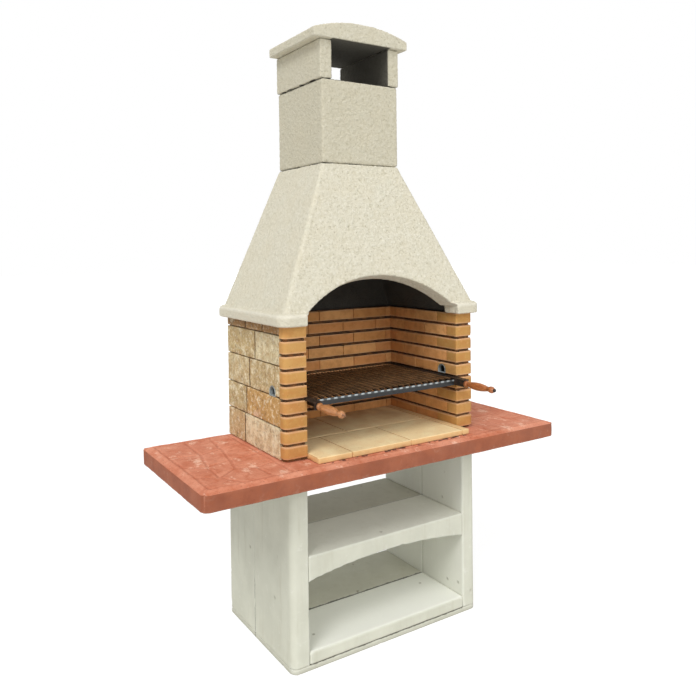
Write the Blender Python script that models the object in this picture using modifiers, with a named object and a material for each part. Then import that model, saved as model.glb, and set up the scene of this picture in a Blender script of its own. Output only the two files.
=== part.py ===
"""Outdoor masonry barbecue: a shelved base of cast concrete, a wide worktop, a firebox laid in
nine courses of firebrick, a tapered hood with an arched mouth, a chimney and a pull-out grill.

Metres, +Z up, -Y to the front. The origin is on the ground, at the middle of the footprint.
"""

import math

import bmesh
import bpy
from mathutils import Matrix, Vector

# Gaps, and how far a cutter runs past what it cuts
FIT = 0.0003
OVERRUN = 0.02
SINK = 0.004

# Base
BASE_WIDTH = 0.812
BASE_DEPTH = 0.506
BASE_HEIGHT = 0.645
BASE_CORNER = 0.024
PLATE_THICK = 0.018
SIDE_THICK = 0.065
LAP_OUTER = 0.290
LAP_INNER = 0.248

# Shelves
SHELF_THICK = 0.045
LOWER_SHELF_TOP = 0.062
UPPER_SHELF_TOP = 0.386
APRON_THICK = 0.046
APRON_END_DEPTH = 0.083
APRON_CROWN_DEPTH = 0.055
APRON_FILLET = 0.012
APRON_TIP_ANGLE = 20.0
SHELF_HOUSING = 0.012
SHELF_SHOULDER = 0.005
SHELF_EDGE = 0.004

# Worktop
WORKTOP_WIDTH = 1.494
WORKTOP_FRONT_OVERHANG = 0.100
WORKTOP_BACK_INSET = 0.006
WORKTOP_THICK = 0.062
WORKTOP_CORNER = 0.022
WORKTOP_BEVEL = 0.019

# Relief of the worktop's wings: irregular stones to the left, bricks to the right
WING_RIM = 0.034
WING_INNER_GAP = 0.0125
RELIEF_DEPTH = 0.003
RELIEF_JOINT = 0.006
RELIEF_EDGE = 0.0015
PAVING_POINT_SHARES = (
    (1.0, 0.0), (0.607, 0.0), (0.255, 0.0), (0.0, 0.0),
    (1.0, 0.232), (0.761, 0.15), (0.494, 0.26), (0.282, 0.214), (0.0, 0.25),
    (1.0, 0.443), (0.744, 0.379), (0.419, 0.434), (0.0, 0.471),
    (1.0, 0.70), (0.641, 0.636), (0.333, 0.691), (0.0, 0.728),
    (1.0, 1.0), (0.607, 1.0), (0.265, 1.0), (0.0, 1.0),
)
PAVING_CORNERS = (
    (0, 4, 5, 1), (1, 5, 6, 7, 2), (2, 7, 8, 3), (4, 9, 10, 5), (5, 10, 11, 6), (6, 11, 12, 8, 7),
    (9, 13, 14, 10), (10, 14, 15, 11), (11, 15, 16, 12), (13, 17, 18, 14), (14, 18, 19, 15),
    (15, 19, 20, 16),
)
PAVER_COLUMN_SHARES = (0.0, 0.34, 0.67, 1.0)
PAVER_ROW_SHARES = ((0.0, 0.19, 0.56, 0.93, 1.0), (0.0, 0.375, 0.745, 1.0), (0.0, 0.19, 0.56, 0.93, 1.0))

# Firebox
FIREBOX_WIDTH = 0.834
FIREBOX_INNER_WIDTH = 0.660
FIREBOX_FRONT_INSET = 0.016
FIREBOX_BACK_INSET = 0.028
FIREBOX_DEPTH = BASE_DEPTH - FIREBOX_FRONT_INSET - FIREBOX_BACK_INSET
FIREBOX_CORNER = 0.018
BACK_WALL_THICK = 0.040
INNER_LEAF_THICK = 0.050
COURSE_COUNT = 9
BRICK_HEIGHT = 0.040
BED_HEIGHT = 0.010
BED_RECESS = 0.012
BUTT_WIDTH = 0.003
BUTT_DEPTH = 0.004
SIDE_BRICK_LENGTH = 0.136
SIDE_FIRST_BUTT = 0.115
SIDE_BUTT_SHIFT = 0.078
BACK_BRICK_LENGTH = 0.167
BACK_FIRST_BUTT = 0.137
BACK_BUTT_SHIFT = -0.053

# Stone cladding outside the firebox
CLADDING_START = 0.035
STONE_RELIEF = 0.007
STONE_JOINT = 0.005
STONE_EDGE = 0.003
STONE_ROW_SHARES = (0.0, 0.244, 0.467, 0.704, 0.933, 1.0)
STONE_SPLIT_SHARES = (0.647, 0.612, 0.547, 0.437, 0.298)

# Hearth tiles
TILE_THICK = 0.020
TILE_EDGE = 0.003
TILE_JOINT = 0.001
HEARTH_PROTRUSION = 0.070
HEARTH_ROW_DEPTH = 0.231
HEARTH_STRIP_WIDTH = 0.033
FRONT_TILE_SHARES = (0.0, 0.215, 0.614, 1.0)
REAR_TILE_SHARES = (0.0, 0.42, 1.0)

# Spit holes and their sleeves
SPIT_WIDTH = 0.043
SPIT_HEIGHT = 0.035
SPIT_FROM_FRONT = 0.086
SLEEVE_WALL = 0.0015
SLEEVE_LIP = 0.001

# Hood
HOOD_WIDTH = 0.878
HOOD_FRONT_INSET = -0.029
HOOD_CORNER = 0.042
HOOD_TOP_CORNER = 0.010
HOOD_HEIGHT = 0.569
HOOD_LIP_HEIGHT = 0.034
HOOD_LIP_STEP = 0.024
HOOD_SHOULDER_HEIGHT = 0.012
HOOD_FRONT_WALL = 0.082
HOOD_BEARING = 0.012
ARCH_WIDTH = 0.655
ARCH_RISE = 0.127
ARCH_SPRING = 0.030
ARCH_FROM_MIDDLE = -0.010

# Chimney
CHIMNEY_WIDTH = 0.341
CHIMNEY_DEPTH = 0.344
CHIMNEY_WALL = 0.045
CHIMNEY_HEIGHT = 0.308
CHIMNEY_EDGE = 0.005
CHIMNEY_BACK_OVERHANG = 0.028
COWL_HEIGHT = 0.142
CHEEK_PROTRUSION = 0.006
CAP_WIDTH = 0.418
CAP_FRONT_OVERHANG = 0.0165
CAP_EDGE_HEIGHT = 0.034
CAP_CROWN_HEIGHT = 0.070

# Grill
GRILL_COURSE = 4
RAIL_THICK = 0.004
RAIL_FLANGE = 0.030
RAIL_LEG = 0.026
RAIL_SIDE_CLEARANCE = 0.002
RAIL_FRONT_REACH = 0.061
GRILL_BACK_CLEARANCE = 0.020
CHANNEL_PITCH = 0.028
CHANNEL_GAP = 0.008
CHANNEL_SIDE_CLEARANCE = 0.004
CHANNEL_HEIGHT = 0.011
CHANNEL_SHEET = 0.0016
CHANNEL_SETBACK = 0.004
CROSS_BAR_WIDTH = 0.020
CROSS_BAR_THICK = 0.005
CROSS_BAR_INSET = 0.022
CROSS_BAR_BITE = 0.0015
GUTTER_DEPTH = 0.028
GUTTER_HEIGHT = 0.021
GUTTER_SHEET = 0.0015
GUTTER_REACH = 0.010

# Grill handles
STUD_RADIUS = 0.004
STUD_DROP = 0.011
BORE_CLEARANCE = 0.0003
HANDLE_LENGTH = 0.1505
HANDLE_RADIUS = 0.0148
NUT_RADIUS = 0.0065
NUT_LENGTH = 0.007
STUD_TIP = 0.004

# Turned outlines: share of the length from the rail, share of the largest radius
HANDLE_PROFILE_SHARES = (
    (0.0, 0.76), (0.015, 0.88), (0.06, 0.88), (0.085, 0.74), (0.11, 0.60), (0.14, 0.60),
    (0.21, 0.78), (0.30, 0.92), (0.41, 1.0), (0.51, 0.99), (0.61, 0.91), (0.70, 0.77),
    (0.77, 0.62), (0.81, 0.56), (0.835, 0.60), (0.86, 0.74), (0.89, 0.83), (0.925, 0.84),
    (0.96, 0.75), (0.985, 0.60), (1.0, 0.44),
)
NUT_PROFILE_SHARES = ((0.0, 1.0), (0.45, 1.0), (0.75, 0.80), (0.93, 0.45), (1.0, 0.0))

# Heights that follow from the pieces stacked on each other
COURSE_HEIGHT = BED_HEIGHT + BRICK_HEIGHT
WORKTOP_TOP = BASE_HEIGHT + WORKTOP_THICK
FIREBOX_TOP = WORKTOP_TOP + COURSE_COUNT * COURSE_HEIGHT
HOOD_TOP = FIREBOX_TOP + HOOD_HEIGHT
CHIMNEY_TOP = HOOD_TOP + CHIMNEY_HEIGHT
COWL_TOP = CHIMNEY_TOP + COWL_HEIGHT

# Places from front to back, with the footprint's middle at zero
HANDLE_REACH = RAIL_FRONT_REACH - FIREBOX_FRONT_INSET + HANDLE_LENGTH + NUT_LENGTH
BACK_REACH = FIREBOX_FRONT_INSET + FIREBOX_DEPTH + CHIMNEY_BACK_OVERHANG
FRONT = (HANDLE_REACH - BACK_REACH) / 2
BASE_BACK = FRONT + BASE_DEPTH
FIREBOX_FRONT = FRONT + FIREBOX_FRONT_INSET
FIREBOX_BACK = FIREBOX_FRONT + FIREBOX_DEPTH
FIREBOX_INNER_BACK = FIREBOX_BACK - BACK_WALL_THICK
UPPER_BACK = FIREBOX_BACK + CHIMNEY_BACK_OVERHANG
CHIMNEY_FRONT = UPPER_BACK - CHIMNEY_DEPTH

# Places from the middle to the side
SIDE_INNER = BASE_WIDTH / 2 - SIDE_THICK
WALL_INNER = FIREBOX_INNER_WIDTH / 2
WALL_OUTER = FIREBOX_WIDTH / 2
LEAF_OUTER = WALL_INNER + INNER_LEAF_THICK

# Grill places
SLOT_BOTTOM = WORKTOP_TOP + GRILL_COURSE * COURSE_HEIGHT
RAIL_OUTER = WALL_INNER + BED_RECESS - RAIL_SIDE_CLEARANCE
RAIL_INNER = RAIL_OUTER - RAIL_FLANGE
RAIL_BOTTOM = SLOT_BOTTOM + FIT
RAIL_TOP = RAIL_BOTTOM + RAIL_THICK
GRILL_FRONT = FIREBOX_FRONT
RAIL_FRONT = FIREBOX_FRONT - RAIL_FRONT_REACH
GRILL_BACK = FIREBOX_INNER_BACK - GRILL_BACK_CLEARANCE
CHANNEL_BOTTOM = RAIL_TOP - CHANNEL_HEIGHT
CHANNEL_WIDTH = CHANNEL_PITCH - CHANNEL_GAP
CHANNEL_SPREAD = 2 * (RAIL_INNER - CHANNEL_SIDE_CLEARANCE) - CHANNEL_WIDTH
CHANNEL_SPACES = math.floor(CHANNEL_SPREAD / CHANNEL_PITCH)
STUD_X = (RAIL_INNER + RAIL_OUTER) / 2 - RAIL_THICK
STUD_Z = RAIL_BOTTOM - STUD_DROP

# How finely round forms are divided
CORNER_STEPS = 5
ARCH_STEPS = 20
SHOULDER_STEPS = 3
ROUND_STEPS = 20
SHARP_ANGLE = 50.0
ROUND_PROFILE = 0.5

# Linear base colours of the materials
COLOURS = {
    "white_concrete": (0.62, 0.62, 0.53),
    "terracotta_concrete": (0.47, 0.145, 0.082),
    "firebrick": (0.56, 0.31, 0.115),
    "cast_stone": (0.53, 0.42, 0.25),
    "hearth_tile": (0.73, 0.60, 0.37),
    "render": (0.66, 0.62, 0.49),
    "black_steel": (0.035, 0.03, 0.028),
    "rusted_steel": (0.085, 0.04, 0.024),
    "galvanised_steel": (0.30, 0.34, 0.37),
    "turned_wood": (0.45, 0.17, 0.055),
}
METALS = {"black_steel": 0.8, "rusted_steel": 0.6, "galvanised_steel": 0.9}
SMOOTH_FINISH = {"black_steel": 0.55, "rusted_steel": 0.7, "galvanised_steel": 0.4, "turned_wood": 0.5}
MATT = 0.9

# The frames in which an outline's two coordinates and its thickness lie
PLANES = {
    "Z": Matrix(((1, 0, 0), (0, 1, 0), (0, 0, 1))),
    "Y": Matrix(((1, 0, 0), (0, 0, -1), (0, 1, 0))),
    "X": Matrix(((0, 0, 1), (1, 0, 0), (0, 1, 0))),
}
MERGE = 0.00001


def clear_scene():
    """Removes what the file holds, so that the model starts from nothing."""
    for obj in list(bpy.data.objects):
        bpy.data.objects.remove(obj)


def make_collection(name):
    group = bpy.data.collections.new(name)
    bpy.context.scene.collection.children.link(group)
    return group


def make_material(name):
    """A Principled material with the colour, roughness and metallic value of the real one."""
    made = bpy.data.materials.new(name)
    made.use_nodes = True
    shader = made.node_tree.nodes["Principled BSDF"]
    shader.inputs["Base Color"].default_value = (*COLOURS[name], 1.0)
    shader.inputs["Roughness"].default_value = SMOOTH_FINISH.get(name, MATT)
    shader.inputs["Metallic"].default_value = METALS.get(name, 0.0)
    made.diffuse_color = (*COLOURS[name], 1.0)
    return made


clear_scene()
PARTS = make_collection("masonry_barbecue")
CUTTERS = make_collection("cutters")
MATERIALS = {name: make_material(name) for name in COLOURS}


def place(name, bm, material=None):
    """A part when it has a material, otherwise a hidden cutter."""
    mesh = bpy.data.meshes.new(name)
    bmesh.ops.recalc_face_normals(bm, faces=bm.faces)
    bm.to_mesh(mesh)
    bm.free()
    obj = bpy.data.objects.new(name, mesh)
    if material:
        mesh.materials.append(MATERIALS[material])
        PARTS.objects.link(obj)
    else:
        obj.hide_render = True
        obj.display_type = "WIRE"
        CUTTERS.objects.link(obj)
    return obj


def box_bmesh(low, high):
    """A cube stretched between two corners."""
    bm = bmesh.new()
    bmesh.ops.create_cube(bm, size=1.0)
    size = Vector(high) - Vector(low)
    bmesh.ops.scale(bm, vec=size, verts=bm.verts)
    bmesh.ops.translate(bm, vec=Vector(low) + size / 2, verts=bm.verts)
    return bm


def box(name, low, high, material=None):
    return place(name, box_bmesh(low, high), material)


def outline_bmesh(points, low, high, axis):
    """A flat closed outline as a filled 2D curve, extruded between two levels along an axis."""
    curve = bpy.data.curves.new("outline", "CURVE")
    curve.dimensions = "2D"
    curve.fill_mode = "BOTH"
    curve.extrude = (high - low) / 2
    spline = curve.splines.new("POLY")
    spline.points.add(len(points) - 1)
    for point, (across, up) in zip(spline.points, points):
        point.co = (across, up, 0.0, 1.0)
    spline.use_cyclic_u = True
    holder = bpy.data.objects.new("outline", curve)
    PARTS.objects.link(holder)
    mesh = bpy.data.meshes.new_from_object(holder.evaluated_get(bpy.context.evaluated_depsgraph_get()))
    bpy.data.objects.remove(holder)
    bm = bmesh.new()
    bm.from_mesh(mesh)
    bmesh.ops.remove_doubles(bm, verts=bm.verts, dist=MERGE)
    turn = PLANES[axis]
    bmesh.ops.transform(bm, matrix=turn.to_4x4(), verts=bm.verts)
    middle = Vector([abs(value) for value in turn.col[2]]) * ((low + high) / 2)
    bmesh.ops.translate(bm, vec=middle, verts=bm.verts)
    return bm


def outline(name, points, low, high, axis, material=None):
    return place(name, outline_bmesh(points, low, high, axis), material)


def arc(centre, radius, start, end, steps):
    """Points along a circle, with angles in degrees."""
    turns = [math.radians(start + (end - start) * step / steps) for step in range(steps + 1)]
    return [(centre[0] + radius * math.cos(turn), centre[1] + radius * math.sin(turn)) for turn in turns]


def mirror_points(points):
    """The same outline on the other side of the middle, still running the same way round."""
    return [(-across, up) for across, up in reversed(points)]


def boolean(obj, other, operation):
    modifier = obj.modifiers.new(operation.lower(), "BOOLEAN")
    modifier.operation = operation
    modifier.object = other
    modifier.solver = "EXACT"


def soften(obj, width):
    """Takes the arris off every sharp edge."""
    bevel = obj.modifiers.new("soft_edges", "BEVEL")
    bevel.width = width
    bevel.segments = 1
    bevel.limit_method = "ANGLE"
    bevel.angle_limit = math.radians(SHARP_ANGLE)


def shade_round(obj):
    """Smooth shading that keeps the sharp edges."""
    obj.data.shade_smooth()
    obj.data.set_sharp_from_angle(angle=math.radians(SHARP_ANGLE))


def front_rounded(half_width, front, back, radius):
    """A plan outline whose two front corners are round."""
    right = arc((half_width - radius, front + radius), radius, -90, 0, CORNER_STEPS)
    left = arc((-half_width + radius, front + radius), radius, 180, 270, CORNER_STEPS)
    return right + [(half_width, back), (-half_width, back)] + left


def base_plate():
    """The thin slab on the ground that carries the base."""
    points = front_rounded(BASE_WIDTH / 2, FRONT, BASE_BACK, BASE_CORNER)
    outline("base_plate", points, 0.0, PLATE_THICK, "Z", "white_concrete")


def base_side(name, side):
    """One side of the base: a front and a rear panel that meet in a half-lap joint."""
    outer = BASE_WIDTH / 2
    middle = SIDE_INNER + SIDE_THICK / 2
    corner = arc((outer - BASE_CORNER, FRONT + BASE_CORNER), BASE_CORNER, -90, 0, CORNER_STEPS)
    front = [(SIDE_INNER, FRONT)] + corner + [
        (outer, FRONT + LAP_OUTER),
        (middle, FRONT + LAP_OUTER),
        (middle, FRONT + LAP_INNER),
        (SIDE_INNER, FRONT + LAP_INNER),
    ]
    rear = [
        (SIDE_INNER, FRONT + LAP_INNER + FIT),
        (middle - FIT, FRONT + LAP_INNER + FIT),
        (middle - FIT, FRONT + LAP_OUTER + FIT),
        (outer, FRONT + LAP_OUTER + FIT),
        (outer, BASE_BACK),
        (SIDE_INNER, BASE_BACK),
    ]
    for part, points in (("front", front), ("rear", rear)):
        points = points if side > 0 else mirror_points(points)
        panel = outline(
            f"base_side_{name}_{part}", points, PLATE_THICK + FIT, BASE_HEIGHT, "Z", "white_concrete"
        )
        groove_start = FRONT + APRON_THICK - SINK - FIT
        near, far = sorted((side * (SIDE_INNER - OVERRUN), side * (SIDE_INNER + SHELF_HOUSING)))
        groove = box(
            f"housing_{name}_{part}",
            (near, groove_start, UPPER_SHELF_TOP - SHELF_THICK - FIT),
            (far, BASE_BACK + OVERRUN, UPPER_SHELF_TOP - SHELF_SHOULDER + FIT),
        )
        boolean(panel, groove, "DIFFERENCE")
        shade_round(panel)


def lower_shelf():
    """Two slabs side by side on the base plate."""
    half = SIDE_INNER - FIT
    bottom = PLATE_THICK + FIT
    seam = FRONT + LAP_INNER
    front = box("lower_shelf_front", (-half, FRONT, bottom), (half, seam, LOWER_SHELF_TOP), "white_concrete")
    rear = box(
        "lower_shelf_rear", (-half, seam + FIT, bottom), (half, BASE_BACK, LOWER_SHELF_TOP), "white_concrete"
    )
    for slab in (front, rear):
        soften(slab, SHELF_EDGE)


def arched_apron_points(half):
    """Front outline of the upper shelf: flat on top, a shallow arch with filleted ends below."""
    rise = APRON_END_DEPTH - APRON_CROWN_DEPTH
    reach = half - APRON_FILLET
    radius = (reach**2 + rise**2) / (2 * rise)
    spring = UPPER_SHELF_TOP - APRON_END_DEPTH
    sweep = math.degrees(math.asin(reach / radius))
    arch = arc((0.0, spring + rise - radius), radius, 90 + sweep, 90 - sweep, ARCH_STEPS)
    right = arc((reach, spring - APRON_FILLET), APRON_FILLET, 90 - sweep, APRON_TIP_ANGLE, CORNER_STEPS)
    tip = right[-1][1]
    left = [(-across, up) for across, up in reversed(right)]
    ends = [(half, tip), (half, UPPER_SHELF_TOP), (-half, UPPER_SHELF_TOP), (-half, tip)]
    return left + arch[1:-1] + right + ends


def shelf_slab(name, start, end, material=None):
    """A slab between the sides, whose ends step down into their housings."""
    half = SIDE_INNER - FIT
    housed = SIDE_INNER + SHELF_HOUSING - FIT
    bottom = UPPER_SHELF_TOP - SHELF_THICK
    tenon_top = UPPER_SHELF_TOP - SHELF_SHOULDER
    right = [(housed, bottom), (housed, tenon_top), (half, tenon_top), (half, UPPER_SHELF_TOP)]
    return outline(name, right + mirror_points(right), start, end, "Y", material)


def upper_shelf():
    """Two slabs housed in the sides; the front one carries the arched apron."""
    seam = FRONT + LAP_INNER
    points = arched_apron_points(SIDE_INNER - FIT)
    apron = outline("upper_shelf_front", points, FRONT, FRONT + APRON_THICK, "Y", "white_concrete")
    slab = shelf_slab("upper_shelf_slab", FRONT + APRON_THICK - SINK, seam)
    boolean(apron, slab, "UNION")
    soften(apron, SHELF_EDGE / 2)
    shelf_slab("upper_shelf_rear", seam + FIT, BASE_BACK, "white_concrete")


def inset_points(points, distance):
    """A convex outline that runs anticlockwise, drawn in evenly on all sides."""
    drawn = []
    for index, corner in enumerate(points):
        here = Vector(corner)
        after = Vector(points[(index + 1) % len(points)])
        arriving = (here - Vector(points[index - 1])).normalized().orthogonal()
        leaving = (after - here).normalized().orthogonal()
        drawn.append(tuple(here + (arriving + leaving) * distance / (1 + arriving.dot(leaving))))
    return drawn


def wing_outlines():
    """For each wing the outlines of its stones, as if both wings lay on the right."""
    paving = [[PAVING_POINT_SHARES[index] for index in corners] for corners in PAVING_CORNERS]
    pavers = []
    for near, far, rows in zip(PAVER_COLUMN_SHARES, PAVER_COLUMN_SHARES[1:], PAVER_ROW_SHARES):
        for first, last in zip(rows, rows[1:]):
            pavers.append([(near, first), (far, first), (far, last), (near, last)])
    return {"left": paving, "right": pavers}


def worktop_relief(slab, low, high):
    """Sinks a field into each wing and stands its stones in it, level with the slab's top."""
    inner = WALL_OUTER + WING_INNER_GAP
    width = WORKTOP_WIDTH / 2 - WING_RIM - inner
    start = low + WING_RIM
    length = high - WING_RIM - start
    floor = WORKTOP_TOP - RELIEF_DEPTH
    for wing, outlines in wing_outlines().items():
        stones = bmesh.new()
        for shares in outlines:
            points = [(inner + across * width, start + along * length) for across, along in shares]
            points = inset_points(points, RELIEF_JOINT / 2)
            if wing == "left":
                points = mirror_points(points)
            stone = outline_bmesh(points, floor - SINK, WORKTOP_TOP, "Z")
            arrises = [
                edge
                for edge in stone.edges
                if all(vert.co.z > WORKTOP_TOP - MERGE for vert in edge.verts)
                and any(abs(face.normal.z) < ROUND_PROFILE for face in edge.link_faces)
            ]
            bmesh.ops.bevel(stone, geom=arrises, offset=RELIEF_EDGE, segments=1, affect="EDGES")
            shape = bpy.data.meshes.new("paving_stone")
            stone.to_mesh(shape)
            stone.free()
            stones.from_mesh(shape)
        near, far = (inner, inner + width) if wing == "right" else (-inner - width, -inner)
        field = box(f"field_{wing}", (near, start, floor), (far, start + length, WORKTOP_TOP + OVERRUN))
        boolean(slab, field, "DIFFERENCE")
        boolean(slab, place(f"stones_{wing}", stones), "UNION")


def worktop():
    """The wide slab on the base, with rounded corners, a bevelled top edge and paving in relief."""
    half = WORKTOP_WIDTH / 2
    low = FRONT - WORKTOP_FRONT_OVERHANG
    high = BASE_BACK - WORKTOP_BACK_INSET
    points = []
    for across, along, start in ((1, low, -90), (1, high, 0), (-1, high, 90), (-1, low, 180)):
        inward = 1 if along == low else -1
        centre = (across * (half - WORKTOP_CORNER), along + inward * WORKTOP_CORNER)
        points += arc(centre, WORKTOP_CORNER, start, start + 90, CORNER_STEPS)
    bm = outline_bmesh(points, BASE_HEIGHT + FIT, WORKTOP_TOP, "Z")
    rim = [
        edge
        for edge in bm.edges
        if min(vert.co.z for vert in edge.verts) > WORKTOP_TOP - FIT
        and sum(face.normal.z > abs(face.normal.x) + abs(face.normal.y) for face in edge.link_faces) == 1
    ]
    bmesh.ops.bevel(bm, geom=rim, offset=WORKTOP_BEVEL, segments=3, profile=ROUND_PROFILE, affect="EDGES")
    slab = place("worktop", bm, "terracotta_concrete")
    worktop_relief(slab, low, high)
    shade_round(slab)


def hearth():
    """Refractory tiles on the worktop, which stand out in front of the firebox."""
    left = -WALL_INNER + FIT
    right = WALL_INNER - FIT
    front = FIREBOX_FRONT - HEARTH_PROTRUSION
    seam = front + HEARTH_ROW_DEPTH
    back = FIREBOX_INNER_BACK - FIT
    strip = right - HEARTH_STRIP_WIDTH
    rows = (("front", front, seam, FRONT_TILE_SHARES), ("rear", seam, back, REAR_TILE_SHARES))
    bottom = WORKTOP_TOP + FIT
    top = bottom + TILE_THICK
    for row, start, end, shares in rows:
        for number, (first, last) in enumerate(zip(shares, shares[1:]), 1):
            low = left + first * (strip - left)
            high = left + last * (strip - left) - TILE_JOINT
            far = (high, end - TILE_JOINT, top)
            tile = box(f"hearth_tile_{row}_{number}", (low, start, bottom), far, "hearth_tile")
            soften(tile, TILE_EDGE)
    narrow = box("hearth_tile_strip", (strip, front, bottom), (right, back, top), "hearth_tile")
    soften(narrow, TILE_EDGE)


def butt_places(first, shift, pitch, low, high, odd):
    """Where the butt joints of one course fall, kept a joint's width clear of its ends."""
    start = first + (shift if odd else 0.0)
    lowest = math.ceil((low + BED_RECESS - start) / pitch)
    highest = math.floor((high - BED_RECESS - start) / pitch)
    return [start + step * pitch for step in range(lowest, highest + 1)]


def side_course_points(odd, recess, butts):
    """Plan of one side course: a full brick at the front, a thinner leaf behind it."""
    front = FIREBOX_FRONT + recess
    inner = WALL_INNER + recess
    outer = WALL_OUTER - recess
    radius = FIREBOX_CORNER - recess
    shoulder = FIREBOX_FRONT + CLADDING_START
    points = [(inner, front)]
    points += arc((outer - radius, front + radius), radius, -90, 0, CORNER_STEPS)
    points += [(outer, shoulder), (LEAF_OUTER, shoulder), (LEAF_OUTER, FIREBOX_BACK), (inner, FIREBOX_BACK)]
    if butts:
        places = butt_places(
            FIREBOX_FRONT + SIDE_FIRST_BUTT,
            SIDE_BUTT_SHIFT,
            SIDE_BRICK_LENGTH,
            front,
            FIREBOX_INNER_BACK,
            odd,
        )
        for middle in reversed(places):
            points += [
                (inner, middle + BUTT_WIDTH / 2),
                (inner + BUTT_DEPTH, middle),
                (inner, middle - BUTT_WIDTH / 2),
            ]
    return points


def back_course_points(odd, recess, butts):
    """Plan of one course of the back wall, between the two sides."""
    half = WALL_INNER - FIT
    front = FIREBOX_INNER_BACK + recess
    points = [(half, FIREBOX_BACK), (-half, FIREBOX_BACK), (-half, front)]
    if butts:
        for middle in butt_places(BACK_FIRST_BUTT, BACK_BUTT_SHIFT, BACK_BRICK_LENGTH, -half, half, odd):
            points += [
                (middle - BUTT_WIDTH / 2, front),
                (middle, front + BUTT_DEPTH),
                (middle + BUTT_WIDTH / 2, front),
            ]
    return points + [(half, front)]


def firebox():
    """Nine courses of firebrick, each on its own recessed mortar bed."""
    for course in range(COURSE_COUNT):
        low = WORKTOP_TOP + course * COURSE_HEIGHT
        bed_top = low + BED_HEIGHT
        odd = course % 2 == 1
        walls = {
            "left": (mirror_points(side_course_points(odd, 0.0, True)),
                     mirror_points(side_course_points(odd, BED_RECESS, False))),
            "right": (side_course_points(odd, 0.0, True), side_course_points(odd, BED_RECESS, False)),
            "back": (back_course_points(odd, 0.0, True), back_course_points(odd, BED_RECESS, False)),
        }
        for wall, (brick_points, bed_points) in walls.items():
            name = f"brick_{wall}_{course + 1}"
            bricks = outline(name, brick_points, bed_top, low + COURSE_HEIGHT, "Z", "firebrick")
            bed = outline(f"bed_{wall}_{course + 1}", bed_points, low + FIT, bed_top + SINK, "Z")
            boolean(bricks, bed, "UNION")
            if course == GRILL_COURSE and wall != "back":
                boolean(bricks, SPIT_CUTTERS[wall], "DIFFERENCE")
            shade_round(bricks)


def spit_arch(inset):
    """Outline of a spit hole, seen from the side: square feet and a round head."""
    middle = FIREBOX_FRONT + SPIT_FROM_FRONT
    bottom = SLOT_BOTTOM + BED_HEIGHT + inset
    radius = SPIT_WIDTH / 2 - inset
    spring = SLOT_BOTTOM + BED_HEIGHT + SPIT_HEIGHT - SPIT_WIDTH / 2
    head = arc((middle, spring), radius, 0, 180, 2 * CORNER_STEPS)
    return [(middle - radius, bottom), (middle + radius, bottom)] + head


def spit_cutter(name, side):
    """The hole that one sleeve fills, from inside the firebox to outside the cladding."""
    ends = sorted((side * (WALL_INNER - OVERRUN), side * (WALL_OUTER + OVERRUN)))
    return outline(f"spit_hole_{name}", spit_arch(0.0), ends[0], ends[1], "X")


def spit_sleeve(name, side):
    """The steel lining of a spit hole."""
    ends = sorted((side * (WALL_INNER - SLEEVE_LIP), side * (WALL_OUTER + SLEEVE_LIP)))
    sleeve = outline(f"spit_sleeve_{name}", spit_arch(FIT), ends[0], ends[1], "X", "galvanised_steel")
    bore = outline(
        f"spit_bore_{name}", spit_arch(FIT + SLEEVE_WALL), ends[0] - OVERRUN, ends[1] + OVERRUN, "X"
    )
    boolean(sleeve, bore, "DIFFERENCE")
    shade_round(sleeve)


def cladding(name, side):
    """The cast stone facing of one side: a panel with raised blocks in rows."""
    inner = LEAF_OUTER + FIT
    face = WALL_OUTER - STONE_RELIEF
    start = FIREBOX_FRONT + CLADDING_START + FIT
    bottom = WORKTOP_TOP + FIT
    top = FIREBOX_TOP - FIT
    ends = sorted((side * inner, side * face))
    panel_far = (ends[1], FIREBOX_BACK, top)
    panel = box(f"stone_cladding_{name}", (ends[0], start, bottom), panel_far, "cast_stone")
    blocks = bmesh.new()
    rows = [bottom + share * (top - bottom) for share in STONE_ROW_SHARES]
    for low, high, split in zip(rows, rows[1:], STONE_SPLIT_SHARES):
        seam = start + split * (FIREBOX_BACK - start)
        for first, last in ((start, seam), (seam, FIREBOX_BACK)):
            near, far = sorted((side * (face - SINK), side * WALL_OUTER))
            half_joint = STONE_JOINT / 2
            block = box_bmesh(
                (near, first + half_joint, low + half_joint), (far, last - half_joint, high - half_joint)
            )
            outer_edges = [
                edge
                for edge in block.edges
                if all(abs(vert.co.x) > WALL_OUTER - MERGE for vert in edge.verts)
            ]
            bmesh.ops.bevel(block, geom=outer_edges, offset=STONE_EDGE, segments=1, affect="EDGES")
            shape = bpy.data.meshes.new("stone_block")
            block.to_mesh(shape)
            block.free()
            blocks.from_mesh(shape)
    boolean(panel, place(f"stone_blocks_{name}", blocks), "UNION")
    boolean(panel, SPIT_CUTTERS[name], "DIFFERENCE")


def loft(name, rings, material=None):
    """Joins rings of equal counts, listed from the bottom up, and closes both ends."""
    bm = bmesh.new()
    levels = [[bm.verts.new(point) for point in ring] for ring in rings]
    count = len(levels[0])
    for lower, upper in zip(levels, levels[1:]):
        for index in range(count):
            after = (index + 1) % count
            bm.faces.new((lower[index], lower[after], upper[after], upper[index]))
    bm.faces.new(levels[0][::-1])
    bm.faces.new(levels[-1])
    return place(name, bm, material)


def level_ring(half_width, front, back, radius, height):
    return [(x, y, height) for x, y in front_rounded(half_width, front, back, radius)]


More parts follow.
